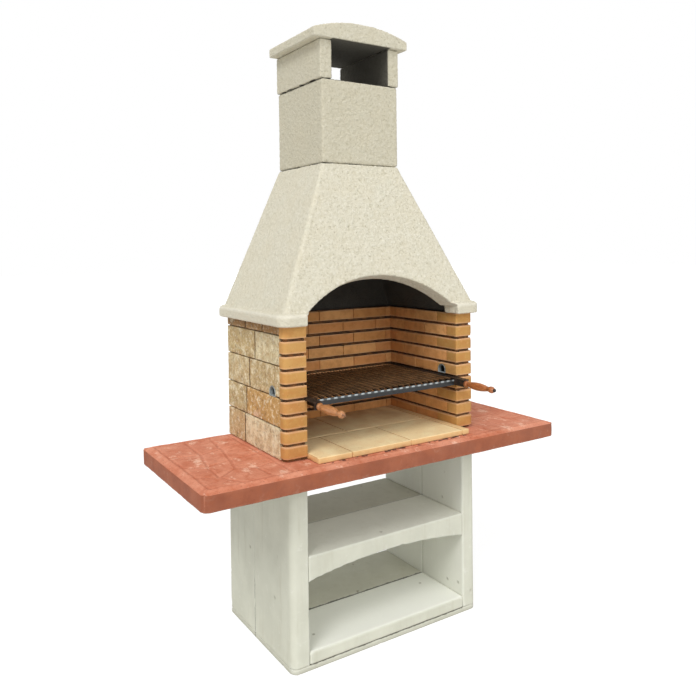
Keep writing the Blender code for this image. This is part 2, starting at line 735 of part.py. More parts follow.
def hood():
    """A hollow tapered hood with a lip round its foot and an arched mouth."""
    bottom = FIREBOX_TOP + FIT
    lip_top = FIREBOX_TOP + HOOD_LIP_HEIGHT
    shoulder = lip_top + HOOD_SHOULDER_HEIGHT
    front = FIREBOX_FRONT + HOOD_FRONT_INSET
    half = HOOD_WIDTH / 2
    step = HOOD_LIP_STEP
    rings = [level_ring(half, front, UPPER_BACK, HOOD_CORNER, bottom)]
    for run_in, up in arc((0.0, 0.0), 1.0, 0, 90, SHOULDER_STEPS):
        drawn = step * (1 - run_in)
        height = lip_top + HOOD_SHOULDER_HEIGHT * up
        rings.append(level_ring(half - drawn, front + drawn, UPPER_BACK, HOOD_CORNER - drawn, height))
    rings.append(level_ring(CHIMNEY_WIDTH / 2, CHIMNEY_FRONT, UPPER_BACK, HOOD_TOP_CORNER, HOOD_TOP))
    shell = loft("hood", rings, "render")
    flue_half = CHIMNEY_WIDTH / 2 - CHIMNEY_WALL
    foot_half = WALL_INNER + HOOD_BEARING
    foot_front = front + HOOD_FRONT_WALL
    flue_front = CHIMNEY_FRONT + CHIMNEY_WALL
    flue_back = UPPER_BACK - CHIMNEY_WALL
    run = HOOD_TOP - bottom

    def inner_ring(height):
        share = (height - bottom) / run
        return level_ring(
            foot_half + share * (flue_half - foot_half),
            foot_front + share * (flue_front - foot_front),
            flue_back,
            HOOD_TOP_CORNER,
            height,
        )

    cavity = loft("hood_cavity", [inner_ring(bottom - OVERRUN), inner_ring(HOOD_TOP + OVERRUN)])
    boolean(shell, cavity, "DIFFERENCE")

    lean = math.atan2(CHIMNEY_FRONT - front - step, HOOD_TOP - shoulder)
    rise = ARCH_RISE / math.cos(lean)
    reach = ARCH_WIDTH / 2
    radius = (reach**2 + rise**2) / (2 * rise)
    sweep = math.degrees(math.asin(reach / radius))
    head = arc((0.0, rise - radius), radius, 90 - sweep, 90 + sweep, ARCH_STEPS)
    arch = outline_bmesh(
        [(-reach, -OVERRUN), (reach, -OVERRUN)] + head, -2 * HOOD_FRONT_WALL, 2 * HOOD_FRONT_WALL, "Y"
    )
    pivot = Vector((ARCH_FROM_MIDDLE, front + step, FIREBOX_TOP + ARCH_SPRING))
    bmesh.ops.transform(
        arch, matrix=Matrix.Translation(pivot) @ Matrix.Rotation(-lean, 4, "X"), verts=arch.verts
    )
    boolean(shell, place("hood_arch", arch), "DIFFERENCE")
    jambs = box(
        "hood_jambs",
        (ARCH_FROM_MIDDLE - reach, front - OVERRUN, bottom - OVERRUN),
        (ARCH_FROM_MIDDLE + reach, foot_front + OVERRUN, FIREBOX_TOP + ARCH_SPRING),
    )
    boolean(shell, jambs, "DIFFERENCE")
    shade_round(shell)


def chimney():
    """The flue block, the two cheeks of the open cowl and the barrel-roofed cap."""
    half = CHIMNEY_WIDTH / 2
    flue_half = half - CHIMNEY_WALL
    block = box(
        "chimney_block", (-half, CHIMNEY_FRONT, HOOD_TOP + FIT), (half, UPPER_BACK, CHIMNEY_TOP), "render"
    )
    soften(block, CHIMNEY_EDGE)
    flue = box(
        "flue",
        (-flue_half, CHIMNEY_FRONT + CHIMNEY_WALL, HOOD_TOP - OVERRUN),
        (flue_half, UPPER_BACK - CHIMNEY_WALL, CHIMNEY_TOP + OVERRUN),
    )
    boolean(block, flue, "DIFFERENCE")
    for name, side in (("left", -1), ("right", 1)):
        near, far = sorted((side * flue_half, side * (half + CHEEK_PROTRUSION)))
        low = (near, CHIMNEY_FRONT, CHIMNEY_TOP + FIT)
        cheek = box(f"cowl_cheek_{name}", low, (far, UPPER_BACK, COWL_TOP), "render")
        soften(cheek, CHIMNEY_EDGE / 2)
    cap_half = CAP_WIDTH / 2
    rise = CAP_CROWN_HEIGHT - CAP_EDGE_HEIGHT
    radius = (cap_half**2 + rise**2) / (2 * rise)
    sweep = math.degrees(math.asin(cap_half / radius))
    foot = COWL_TOP + FIT
    crown = arc((0.0, foot + CAP_CROWN_HEIGHT - radius), radius, 90 - sweep, 90 + sweep, ARCH_STEPS)
    cap = outline(
        "chimney_cap",
        [(-cap_half, foot), (cap_half, foot)] + crown,
        CHIMNEY_FRONT - CAP_FRONT_OVERHANG,
        UPPER_BACK,
        "Y",
        "render",
    )
    soften(cap, CHIMNEY_EDGE / 2)
    shade_round(cap)


def grill_rail(name, side, carrier):
    """An angle that slides in the brick joint, with a front plate and the handle's stud."""
    x_out, x_in = side * RAIL_OUTER, side * RAIL_INNER
    leg_bottom = RAIL_TOP - RAIL_LEG
    step = side * RAIL_THICK
    section = [
        (x_in, leg_bottom),
        (x_in + step, leg_bottom),
        (x_in + step, RAIL_BOTTOM),
        (x_out, RAIL_BOTTOM),
        (x_out, RAIL_TOP),
        (x_in, RAIL_TOP),
    ]
    rail = outline(f"grill_rail_{name}", section, RAIL_FRONT, GRILL_BACK, "Y", "black_steel")
    near, far = sorted((x_in, x_out - side * RAIL_THICK))
    plate = box(
        f"rail_plate_{name}", (near, RAIL_FRONT, leg_bottom), (far, RAIL_FRONT + RAIL_THICK, RAIL_TOP)
    )
    bm = bmesh.new()
    stud_end = RAIL_FRONT - HANDLE_LENGTH - STUD_TIP
    stud_start = RAIL_FRONT + RAIL_THICK / 2
    bmesh.ops.create_cone(
        bm,
        cap_ends=True,
        segments=ROUND_STEPS // 2,
        radius1=STUD_RADIUS,
        radius2=STUD_RADIUS,
        depth=stud_start - stud_end,
    )
    turn = Matrix.Rotation(math.radians(90), 4, "X")
    middle = Matrix.Translation((side * STUD_X, (stud_start + stud_end) / 2, STUD_Z))
    bmesh.ops.transform(bm, matrix=middle @ turn, verts=bm.verts)
    stud = place(f"rail_stud_{name}", bm)
    boolean(rail, plate, "UNION")
    boolean(rail, stud, "UNION")
    attach(rail, carrier)


def turned(name, profile, closed, side, material, carrier):
    """Spins a profile of radius and distance from the rail round a handle's axis."""
    points = [(radius, 0.0, -away) for radius, away in profile]
    edges = [(index, index + 1) for index in range(len(points) - 1)]
    if closed:
        edges.append((len(points) - 1, 0))
    mesh = bpy.data.meshes.new(name)
    mesh.from_pydata(points, edges, [])
    mesh.materials.append(MATERIALS[material])
    obj = bpy.data.objects.new(name, mesh)
    PARTS.objects.link(obj)
    obj.location = (side * STUD_X, RAIL_FRONT, STUD_Z)
    obj.rotation_euler = (math.radians(-90), 0.0, 0.0)
    screw = obj.modifiers.new("turned", "SCREW")
    screw.axis = "Z"
    screw.angle = math.radians(360)
    screw.steps = ROUND_STEPS
    screw.render_steps = ROUND_STEPS
    screw.use_merge_vertices = True
    screw.merge_threshold = MERGE
    screw.use_smooth_shade = True
    attach(obj, carrier)


def grill_handle(name, side, carrier):
    """A turned wooden grip: collar, barrel and ball, bored for the stud."""
    bore = STUD_RADIUS + BORE_CLEARANCE
    outer = [(HANDLE_RADIUS * wide, HANDLE_LENGTH * along) for along, wide in HANDLE_PROFILE_SHARES]
    profile = [(bore, outer[0][1])] + outer + [(bore, outer[-1][1])]
    turned(f"grill_handle_{name}", profile, True, side, "turned_wood", carrier)


def handle_nut(name, side, carrier):
    """The domed nut that closes a handle: a cap over the end of the stud."""
    start = HANDLE_LENGTH + FIT
    pocket = HANDLE_LENGTH + STUD_TIP + FIT
    bore = STUD_RADIUS + BORE_CLEARANCE
    dome = [(NUT_RADIUS * wide, start + (NUT_LENGTH - FIT) * along) for along, wide in NUT_PROFILE_SHARES]
    profile = [(0.0, pocket), (bore, pocket), (bore, start)] + dome
    turned(f"handle_nut_{name}", profile, False, side, "black_steel", carrier)


def attach(obj, carrier):
    """Hangs a piece on the sliding grill's empty and leaves it where it is."""
    bpy.context.view_layer.update()
    obj.parent = carrier
    obj.matrix_parent_inverse = carrier.matrix_world.inverted()


def channel_rack(carrier):
    """V-shaped channels that drain to the front, fused to two cross bars."""
    half = CHANNEL_WIDTH / 2
    low, high = CHANNEL_BOTTOM, RAIL_TOP
    slope = math.hypot(half, CHANNEL_HEIGHT) / CHANNEL_HEIGHT
    sheet = CHANNEL_SHEET * slope
    drop = CHANNEL_SHEET * math.hypot(half, CHANNEL_HEIGHT) / half
    rack = bmesh.new()
    start = GRILL_FRONT + CHANNEL_SETBACK
    for index in range(CHANNEL_SPACES + 1):
        middle = (index - CHANNEL_SPACES / 2) * CHANNEL_PITCH
        section = [
            (middle - half, high),
            (middle, low),
            (middle + half, high),
            (middle + half - sheet, high),
            (middle, low + drop),
            (middle - half + sheet, high),
        ]
        channel = outline_bmesh(section, start, GRILL_BACK, "Y")
        shape = bpy.data.meshes.new("channel")
        channel.to_mesh(shape)
        channel.free()
        rack.from_mesh(shape)
    channels = place("grill_channels", rack, "rusted_steel")
    reach = RAIL_INNER - FIT
    bar_top = CHANNEL_BOTTOM + CROSS_BAR_BITE
    for name, front in (
        ("front", GRILL_FRONT + GUTTER_DEPTH + CROSS_BAR_INSET),
        ("rear", GRILL_BACK - CROSS_BAR_INSET - CROSS_BAR_WIDTH),
    ):
        bar = box(
            f"cross_bar_{name}",
            (-reach, front, bar_top - CROSS_BAR_THICK),
            (reach, front + CROSS_BAR_WIDTH, bar_top),
        )
        boolean(channels, bar, "UNION")
    attach(channels, carrier)


def gutter(carrier):
    """The trough across the front that takes the fat from the channels."""
    front = GRILL_FRONT - GUTTER_REACH
    back = front + GUTTER_DEPTH
    top = CHANNEL_BOTTOM + CHANNEL_HEIGHT / 2
    bottom = top - GUTTER_HEIGHT
    sheet = GUTTER_SHEET
    rear_top = CHANNEL_BOTTOM - FIT
    section = [
        (front, bottom),
        (back, bottom),
        (back, rear_top),
        (back - sheet, rear_top),
        (back - sheet, bottom + sheet),
        (front + sheet, bottom + sheet),
        (front + sheet, top),
        (front, top),
    ]
    reach = RAIL_INNER - FIT
    trough = outline("grill_gutter", section, -reach, reach, "X", "galvanised_steel")
    attach(trough, carrier)


def grill():
    """Everything that slides out together."""
    carrier = bpy.data.objects.new("grill_slide", None)
    carrier.location = (0.0, GRILL_FRONT, RAIL_BOTTOM)
    PARTS.objects.link(carrier)
    for name, side in (("left", -1), ("right", 1)):
        grill_rail(name, side, carrier)
        grill_handle(name, side, carrier)
        handle_nut(name, side, carrier)
    channel_rack(carrier)
    gutter(carrier)


SPIT_CUTTERS = {"left": spit_cutter("left", -1), "right": spit_cutter("right", 1)}
base_plate()
base_side("left", -1)
base_side("right", 1)
lower_shelf()
upper_shelf()
worktop()
hearth()
firebox()
for wall_name, wall_side in (("left", -1), ("right", 1)):
    spit_sleeve(wall_name, wall_side)
    cladding(wall_name, wall_side)
hood()
chimney()
grill()
bpy.context.view_layer.update()
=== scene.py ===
"""Looks of the outdoor masonry barbecue: rough-cast hood and chimney, firebrick, cast stone,
coloured worktop with paving in relief, used steel grill and turned wooden handles."""

import functools
import itertools
import math

import bmesh
import bpy
import numpy as np
from mathutils import Matrix, Vector
from mathutils.bvhtree import BVHTree
from mathutils.kdtree import KDTree


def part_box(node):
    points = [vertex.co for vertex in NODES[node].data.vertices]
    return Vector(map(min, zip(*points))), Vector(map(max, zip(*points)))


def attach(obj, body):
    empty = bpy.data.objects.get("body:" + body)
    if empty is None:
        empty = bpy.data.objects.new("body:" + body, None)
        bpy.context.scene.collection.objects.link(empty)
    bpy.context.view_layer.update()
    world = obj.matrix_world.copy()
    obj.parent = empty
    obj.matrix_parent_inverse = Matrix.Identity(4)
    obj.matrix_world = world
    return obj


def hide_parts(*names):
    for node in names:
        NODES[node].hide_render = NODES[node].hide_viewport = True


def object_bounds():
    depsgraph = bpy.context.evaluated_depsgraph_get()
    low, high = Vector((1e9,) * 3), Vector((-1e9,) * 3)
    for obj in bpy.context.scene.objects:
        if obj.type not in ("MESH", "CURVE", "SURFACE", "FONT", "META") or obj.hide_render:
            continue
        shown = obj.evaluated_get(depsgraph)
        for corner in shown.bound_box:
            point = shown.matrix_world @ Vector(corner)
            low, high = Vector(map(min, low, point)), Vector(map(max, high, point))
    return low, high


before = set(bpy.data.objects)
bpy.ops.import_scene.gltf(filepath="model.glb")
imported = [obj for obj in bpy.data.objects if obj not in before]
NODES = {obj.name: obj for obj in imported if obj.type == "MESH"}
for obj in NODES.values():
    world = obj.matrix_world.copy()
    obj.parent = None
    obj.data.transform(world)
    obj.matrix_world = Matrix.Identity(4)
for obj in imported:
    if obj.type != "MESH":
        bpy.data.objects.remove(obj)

CAD_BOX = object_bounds()
BOX_LOW, BOX_HIGH = np.array(CAD_BOX[0]) + 1e-5, np.array(CAD_BOX[1]) - 1e-5

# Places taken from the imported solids
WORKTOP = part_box("worktop")
SIDE_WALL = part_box("brick_right_1")
BACK_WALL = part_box("brick_back_1")
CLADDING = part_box("stone_cladding_right")
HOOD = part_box("hood")
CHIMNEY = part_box("chimney_block")
WALL_INNER, FIREBOX_FRONT = SIDE_WALL[0].x, SIDE_WALL[0].y
WALL_OUTER, FIREBOX_BACK = SIDE_WALL[1].x, SIDE_WALL[1].y
LEAF_OUTER = CLADDING[0].x
SHOULDER = CLADDING[0].y
WORKTOP_TOP = WORKTOP[1].z

# Measures that the solids have too, in metres: a course with its bed, the gaps and the grill's pitch
COURSE = 0.050
BED = 0.010
FIT = 0.0003
BORE_FIT = 0.0004
CHANNEL_PITCH = 0.028


# Noise from hashed whole-number cells, so that every run gives the same

def hashed(cells, seed):
    """A steady share from 0 to 1 for each whole-number cell."""
    x, y, z = (cells[..., axis].astype(np.int64) for axis in range(3))
    mixed = (x * 73856093) ^ (y * 19349663) ^ (z * 83492791) ^ (seed * 15485863 + 7)
    mixed = ((mixed ^ (mixed >> 15)) * 2246822519) & 0xFFFFFFFF
    mixed = ((mixed ^ (mixed >> 13)) * 3266489917) & 0xFFFFFFFF
    return ((mixed ^ (mixed >> 16)) & 0xFFFFFF) / float(0xFFFFFF)


TURN = np.array(Matrix.Rotation(0.9, 3, Vector((0.4, 0.7, 0.6)).normalized()))


def noise(points, size, seed=0, octaves=1):
    """Smooth noise from -1 to 1 whose bumps are about size apart."""
    total, reach = np.zeros(len(points)), 0.0
    turned = points
    for octave in range(octaves):
        turned = turned @ TURN.T + 3.7
        place = turned / (size * 0.5 ** octave)
        base = np.floor(place)
        part = place - base
        part = part * part * (3 - 2 * part)
        value = np.zeros(len(points))
        for corner in itertools.product((0, 1), repeat=3):
            weight = np.prod([part[:, a] if corner[a] else 1 - part[:, a] for a in range(3)], axis=0)
            value += weight * hashed(base + corner, seed * 31 + octave)
        total += (2 * value - 1) * 0.5 ** octave
        reach += 0.5 ** octave
    return total / reach


def scattered(points, size, seed=0):
    """Distance to the nearest of scattered points, as a share of their spacing, and its own number."""
    place = points / size
    base = np.floor(place)
    best, own = np.full(len(points), 9.0), np.zeros(len(points))
    for step in itertools.product((-1, 0, 1), repeat=3):
        cell = base + step
        centre = cell + np.stack([hashed(cell, seed * 7 + k) for k in (1, 2, 3)], axis=-1)
        away = np.linalg.norm(place - centre, axis=1)
        nearer = away < best
        best[nearer] = away[nearer]
        own[nearer] = hashed(cell[nearer], seed * 7 + 5)
    return best, own


def ramp(value, low, high):
    """0 below low, 1 above high, and smooth between."""
    share = np.clip((value - low) / (high - low), 0, 1)
    return share * share * (3 - 2 * share)


# Meshes from arrays

def make_mesh(name, points, faces, smooth=True):
    mesh = bpy.data.meshes.new(name)
    mesh.from_pydata(points, [], faces)
    mesh.polygons.foreach_set("use_smooth", np.full(len(mesh.polygons), smooth))
    return mesh


def read_vertices(mesh, what="co"):
    flat = np.zeros(len(mesh.vertices) * 3, np.float32)
    mesh.vertices.foreach_get(what, flat)
    return flat.reshape(-1, 3).astype(float)


def write_points(mesh, points):
    """Moves the points of a mesh, and holds them inside the box of the whole CAD model."""
    mesh.vertices.foreach_set("co", np.clip(points, BOX_LOW, BOX_HIGH).astype(np.float32).ravel())
    mesh.update()


def averaged(mesh, values, rounds=1):
    """Values of the vertices, each replaced by the mean of its neighbours, a few times over."""
    pairs = np.zeros(len(mesh.edges) * 2, np.int32)
    mesh.edges.foreach_get("vertices", pairs)
    first, second = pairs[0::2], pairs[1::2]
    count = np.bincount(pairs, minlength=len(values)).astype(float)
    flat = values.reshape(len(values), -1)
    for _ in range(rounds):
        gathered = np.empty_like(flat)
        for column in range(flat.shape[1]):
            gathered[:, column] = (
                np.bincount(first, flat[second, column], len(flat))
                + np.bincount(second, flat[first, column], len(flat))
            )
        flat = gathered / count[:, None]
    return flat.reshape(values.shape)


def set_values(mesh, **values):
    """Stores a share or a colour for each vertex, which the materials read."""
    for name, value in values.items():
        value = np.broadcast_to(np.asarray(value, float), (len(mesh.vertices),) + np.shape(value)[1:])
        if value.ndim == 2:
            layer = mesh.attributes.new(name, "FLOAT_COLOR", "POINT")
            layer.data.foreach_set("color", np.c_[value, np.ones(len(value))].astype(np.float32).ravel())
        else:
            layer = mesh.attributes.new(name, "FLOAT", "POINT")
            layer.data.foreach_set("value", value.astype(np.float32))


def placed(name, data):
    """A new object in the scene."""
    obj = bpy.data.objects.new(name, data)
    bpy.context.scene.collection.objects.link(obj)
    return obj


def show(name, mesh, material, body, node):
    """Makes a mesh a piece that rides on a body and stands for one of the solids."""
    obj = placed(name, mesh)
    mesh.materials.clear()
    mesh.materials.append(material)
    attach(obj, body)
    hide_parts(node)


def changed(obj):
    """The mesh of an object with its modifiers."""
    return bpy.data.meshes.new_from_object(obj.evaluated_get(bpy.context.evaluated_depsgraph_get()))


def skin(node, voxel):
    """An even closed skin of quads on one solid: its mesh, points, normals and arris share."""
    solid = bpy.data.meshes.new("welded")
    bm = bmesh.new()
    bm.from_mesh(NODES[node].data)
    bmesh.ops.remove_doubles(bm, verts=bm.verts, dist=0.00001)
    bm.to_mesh(solid)
    bm.free()
    surface = BVHTree.FromPolygons([v.co for v in solid.vertices], [f.vertices for f in solid.polygons])
    obj = placed("welded", solid)
    remesh = obj.modifiers.new("skin", "REMESH")
    remesh.mode = "VOXEL"
    remesh.voxel_size = voxel
    mesh = changed(obj)
    bpy.data.objects.remove(obj)
    mesh.name = node
    points = read_vertices(mesh)
    points = points + (averaged(mesh, points, 2) - points) * 0.6
    write_points(mesh, points)
    normals = read_vertices(mesh, "normal")
    pull = averaged(mesh, points) - points
    arris = averaged(mesh, np.clip(-np.sum(pull * normals, axis=1) / voxel * 4, -1, 1), 2)
    mesh.polygons.foreach_set("use_smooth", np.ones(len(mesh.polygons), bool))
    return mesh, np.array([surface.find_nearest(point)[0] for point in points]), normals, arris


def grid_lines(length, edge, cell):
    """Where the grid of a block runs along one side: close at its edges, even between."""
    inner = length - 2 * edge
    count = max(1, round(inner / cell))
    middle = edge + inner * np.arange(count + 1) / count
    return np.concatenate(([0.0, edge * 0.4], middle, [length - edge * 0.4, length]))


def block(low, high, edge, cell, corner=0.0):
    """A gridded box with round edges and, where asked, wider round corners in plan.
    Gives points, quads, outward directions and the share of each point on an edge."""
    low, high = np.array(low, float), np.array(high, float)
    size = high - low
    steps = [grid_lines(size[axis], edge, cell[axis] if np.ndim(cell) else cell) for axis in range(3)]
    counts = [len(step) for step in steps]
    index = -np.ones(counts, int)
    shell = np.ones(counts, bool)
    shell[1:-1, 1:-1, 1:-1] = False
    index[shell] = np.arange(shell.sum())
    where = np.argwhere(shell)
    points = np.stack([steps[axis][where[:, axis]] for axis in range(3)], axis=1)
    core = np.clip(points, edge, size - edge)
    if corner > edge:
        inner = corner - edge
        middle = np.clip(points[:, :2], corner, size[:2] - corner)
        away = core[:, :2] - middle
        far = np.linalg.norm(away, axis=1)
        over = far > inner
        core[over, :2] = middle[over] + away[over] / far[over, None] * inner
    direction = points - core
    length = np.linalg.norm(direction, axis=1)
    direction = direction / np.maximum(length, 1e-9)[:, None]
    points = core + direction * edge
    on_edge = ramp(1 - np.max(np.abs(direction), axis=1), 0.0, 0.2)
    faces = []
    for axis in range(3):
        for end in (0, -1):
            sheet = np.take(index, end, axis=axis)
            quads = np.stack([sheet[:-1, :-1], sheet[1:, :-1], sheet[1:, 1:], sheet[:-1, 1:]], axis=-1)
            quads = quads.reshape(-1, 4)
            if (end == 0) == (axis != 1):
                quads = quads[:, ::-1]
            faces.append(quads)
    return points + low, np.concatenate(faces), direction, on_edge


def rounded_plan(corners, spacing, steps=4):
    """A closed plan with the given corner radii, listed anticlockwise, and its outward directions."""
    made, arcs, count = [], [], len(corners)
    spots = [np.array(corner[:2], float) for corner in corners]
    for i, (_, _, radius) in enumerate(corners):
        here, before, after = spots[i], spots[i - 1], spots[(i + 1) % count]
        a = (before - here) / np.linalg.norm(before - here)
        b = (after - here) / np.linalg.norm(after - here)
        if radius <= 0:
            arcs.append([here])
            continue
        half = math.acos(np.clip(a @ b, -1, 1)) / 2
        back = radius / math.tan(half)
        centre = here + (a + b) / np.linalg.norm(a + b) * radius / math.sin(half)
        start, end = here + a * back - centre, here + b * back - centre
        sweep = math.pi - 2 * half
        arc = []
        for k in range(steps + 1):
            share = k / steps
            blend = math.sin((1 - share) * sweep) * start + math.sin(share * sweep) * end
            arc.append(centre + blend / math.sin(sweep))
        arcs.append(arc)
    for i, arc in enumerate(arcs):
        made += arc
        start, end = arc[-1], arcs[(i + 1) % count][0]
        gap = np.linalg.norm(end - start)
        pieces = max(1, round(gap / spacing))
        made += [start + (end - start) * k / pieces for k in range(1, pieces)]
    plan = np.array(made)
    along = np.roll(plan, -1, axis=0) - plan
    along /= np.linalg.norm(along, axis=1)[:, None]
    outward = np.stack([along[:, 1], -along[:, 0]], axis=1)
    outward = outward + np.roll(outward, 1, axis=0)
    outward /= np.linalg.norm(outward, axis=1)[:, None]
    return plan, outward


def tube(rings, count, closed=False):
    """Quads between rings of as many points as count."""
    return [(ring * count + i, ring * count + (i + 1) % count,
             (ring + 1) % rings * count + (i + 1) % count, (ring + 1) % rings * count + i)
            for ring in range(rings if closed else rings - 1) for i in range(count)]


def caps(rings, count):
    return [tuple(range(count))[::-1], tuple((rings - 1) * count + i for i in range(count))]


def prism(plan, outward, low, high, edge, cell):
    """An upright solid over a plan, with round rims. Gives points, faces, directions, edge share."""
    rows = max(1, round((high - low - 2 * edge) / cell))
    rings = [(low, edge, -1.0), (low + 0.3 * edge, 0.3 * edge, -0.6), (low + edge, 0.0, 0.0)]
    rings += [(low + edge + (high - low - 2 * edge) * k / rows, 0.0, 0.0) for k in range(1, rows)]
    rings += [(high - edge, 0.0, 0.0), (high - 0.3 * edge, 0.3 * edge, 0.6), (high, edge, 1.0)]
    count = len(plan)
    points, directions, share = [], [], []
    for height, inset, tilt in rings:
        flat = plan - outward * inset
        points.append(np.c_[flat, np.full(count, height)])
        level = math.sqrt(max(0.0, 1 - tilt * tilt))
        directions.append(np.c_[outward * level, np.full(count, tilt)])
        near = min(height - low, high - height)
        share.append(np.full(count, float(np.clip(1.2 - near / (2 * edge), 0, 1))))
    faces = tube(len(rings), count) + caps(len(rings), count)
    return np.concatenate(points), faces, np.concatenate(directions), np.concatenate(share)


def bored(points, faces, values, wall):
    """Opens the spit hole in one closed solid, and carries its values over to the new points."""
    low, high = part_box(f"spit_sleeve_{wall}")
    middle, radius = (low.y + high.y) / 2, (high.y - low.y) / 2 + BORE_FIT
    floor, spring = low.z - BORE_FIT, high.z + BORE_FIT - radius
    near, far = points.min(axis=0), points.max(axis=0)
    if far[1] < middle - radius or near[1] > middle + radius or far[2] < floor or near[2] > spring + radius:
        return points, faces, values
    turns = [math.pi * k / 12 for k in range(13)]
    outline = [(middle - radius, floor), (middle + radius, floor)]
    outline += [(middle + radius * math.cos(turn), spring + radius * math.sin(turn)) for turn in turns]
    ring = [(x, y, z) for x in (low.x - 0.03, high.x + 0.03) for y, z in outline]
    walls = tube(2, len(outline)) + caps(2, len(outline))
    pieces = []
    for mesh in (make_mesh("bored", points, faces), make_mesh("bore", ring, walls)):
        made = bmesh.new()
        made.from_mesh(mesh)
        bmesh.ops.recalc_face_normals(made, faces=made.faces)
        made.to_mesh(mesh)
        made.free()
        pieces.append(placed(mesh.name, mesh))
    cut = pieces[0].modifiers.new("hole", "BOOLEAN")
    cut.operation, cut.solver, cut.object = "DIFFERENCE", "MANIFOLD", pieces[1]
    made = changed(pieces[0])
    for piece in pieces:
        bpy.data.objects.remove(piece)
    tree = KDTree(len(points))
    for index, point in enumerate(points):
        tree.insert(point, index)
    tree.balance()
    new = read_vertices(made)
    nearest = np.array([tree.find(point)[1] for point in new])
    carried = {key: value[nearest] if np.ndim(value) and len(value) == len(points) else value
               for key, value in values.items()}
    return new, [list(face.vertices) for face in made.polygons], carried


class Gather:
    """Collects closed solids and their values into one mesh. Where it is made for a wall, that wall's
    spit hole is cut through them."""

    def __init__(self, wall=None):
        self.points, self.faces, self.values, self.total, self.wall = [], [], {}, 0, wall

    def add(self, points, faces, **values):
        if self.wall:
            points, faces, values = bored(points, faces, values, self.wall)
        self.points.append(points)
        self.faces += [[int(i) + self.total for i in face] for face in faces]
        for name, value in values.items():
            shape = (len(points), 3) if name == "tint" else len(points)
            self.values.setdefault(name, []).append(np.broadcast_to(value, shape))
        self.total += len(points)

    def mesh(self, name, smooth=True):
        made = make_mesh(name, np.concatenate(self.points), self.faces, smooth)
        set_values(made, **{key: np.concatenate(value) for key, value in self.values.items()})
        return made


# Materials

def linear(red, green, blue):
    """A colour written as it shows on a screen, from 0 to 255, as the shader reads it."""
    shares = [value / 255 for value in (red, green, blue)]
    return tuple(s / 12.92 if s <= 0.04045 else ((s + 0.055) / 1.055) ** 2.4 for s in shares)


def add_node(tree, kind, inputs=None, **settings):
    """A new node with its settings, and its inputs linked or set. Gives its outputs."""
    made = tree.nodes.new(kind)
    for key, value in settings.items():
        setattr(made, key, value)
    for key, value in (inputs or {}).items():
        if isinstance(value, bpy.types.NodeSocket):
            tree.links.new(value, made.inputs[key])
        else:
            made.inputs[key].default_value = value
    return made.outputs


class Finish:
    """A Principled material wired from procedural nodes. Places are metres in the part's frame, and
    colours are written as they show on a screen. A source is a socket, a number, the name of a stored
    value, or the size, detail and roughness of a noise. Limits are what between takes after its value."""

    def __init__(self, name, roughness, metallic=0.0):
        self.material = bpy.data.materials.new(name)
        self.material.use_nodes = True
        self.tree = self.material.node_tree
        self.shader = self.tree.nodes["Principled BSDF"]
        self.shader.inputs["Roughness"].default_value = roughness
        self.shader.inputs["Metallic"].default_value = metallic
        self.place = self.node("ShaderNodeTexCoord")["Object"]

    def node(self, kind, inputs=None, **settings):
        return add_node(self.tree, kind, inputs, **settings)

    def link(self, socket, name):
        self.tree.links.new(socket, self.shader.inputs[name])

    def stretched(self, scale):
        return self.node("ShaderNodeMapping", {"Vector": self.place, "Scale": scale})[0]

    def noise(self, size, detail, rough, at=None):
        """Noise from 0 to 1 whose bumps are about size metres apart."""
        inputs = {"Vector": at or self.place, "Scale": 1 / size, "Detail": detail, "Roughness": rough}
        return self.node("ShaderNodeTexNoise", inputs)[0]

    def cells(self, size):
        """Distance to the nearest of scattered points, as a share of their spacing."""
        return self.node("ShaderNodeTexVoronoi", {"Vector": self.place, "Scale": 1 / size})[0]

    def tint(self):
        return self.node("ShaderNodeAttribute", attribute_name="tint")["Color"]

    def split(self):
        return self.node("ShaderNodeSeparateXYZ", {0: self.place})

    def between(self, value, low, high, start=0.0, end=1.0):
        """Start below low, end above high, and smooth between."""
        return self.node("ShaderNodeMapRange", {
            "Value": value, "From Min": low, "From Max": high, "To Min": start, "To Max": end,
        }, interpolation_type="SMOOTHSTEP")[0]

    def read(self, source, limits=None):
        if isinstance(source, str):
            source = self.node("ShaderNodeAttribute", attribute_name=source)["Fac"]
        elif isinstance(source, tuple):
            source = self.noise(*source)
        return self.between(source, *limits) if limits else source

    def maths(self, operation, a, b=0.0):
        return self.node("ShaderNodeMath", {0: a, 1: b}, operation=operation)[0]

    def sum(self, a, b):
        return self.maths("ADD", a, b)

    def times(self, a, b):
        return self.maths("MULTIPLY", a, b)

    def away(self, a, b=0.0):
        """How far two values lie apart."""
        return self.maths("ABSOLUTE", self.maths("SUBTRACT", a, b))

    def mix(self, source, limits, first, second):
        """From the first colour to the second, by a source."""
        first, second = ((*linear(*c), 1.0) if isinstance(c, tuple) else c for c in (first, second))
        inputs = {0: self.read(source, limits), 6: first, 7: second}
        return self.node("ShaderNodeMix", inputs, data_type="RGBA")[2]

    def layer(self, source, limits, colour):
        """Lays a colour over the ones before it, by a source."""
        self.base = self.mix(source, limits, self.base, colour)

    def line(self, colour, *sources):
        """Lays a colour by the product of several sources, each with its limits."""
        self.layer(functools.reduce(self.times, [self.read(*source) for source in sources]), None, colour)

    def rough(self, size, low, high):
        self.link(self.read((size, 3, 0.6), (0.3, 0.7, low, high)), "Roughness")

    def done(self, source, distance, strength):
        """Wires the colour and the bump, and gives the material."""
        inputs = {"Height": self.read(source), "Distance": distance, "Strength": strength}
        self.link(self.node("ShaderNodeBump", inputs)[0], "Normal")
        self.link(self.base, "Base Color")
        return self.material


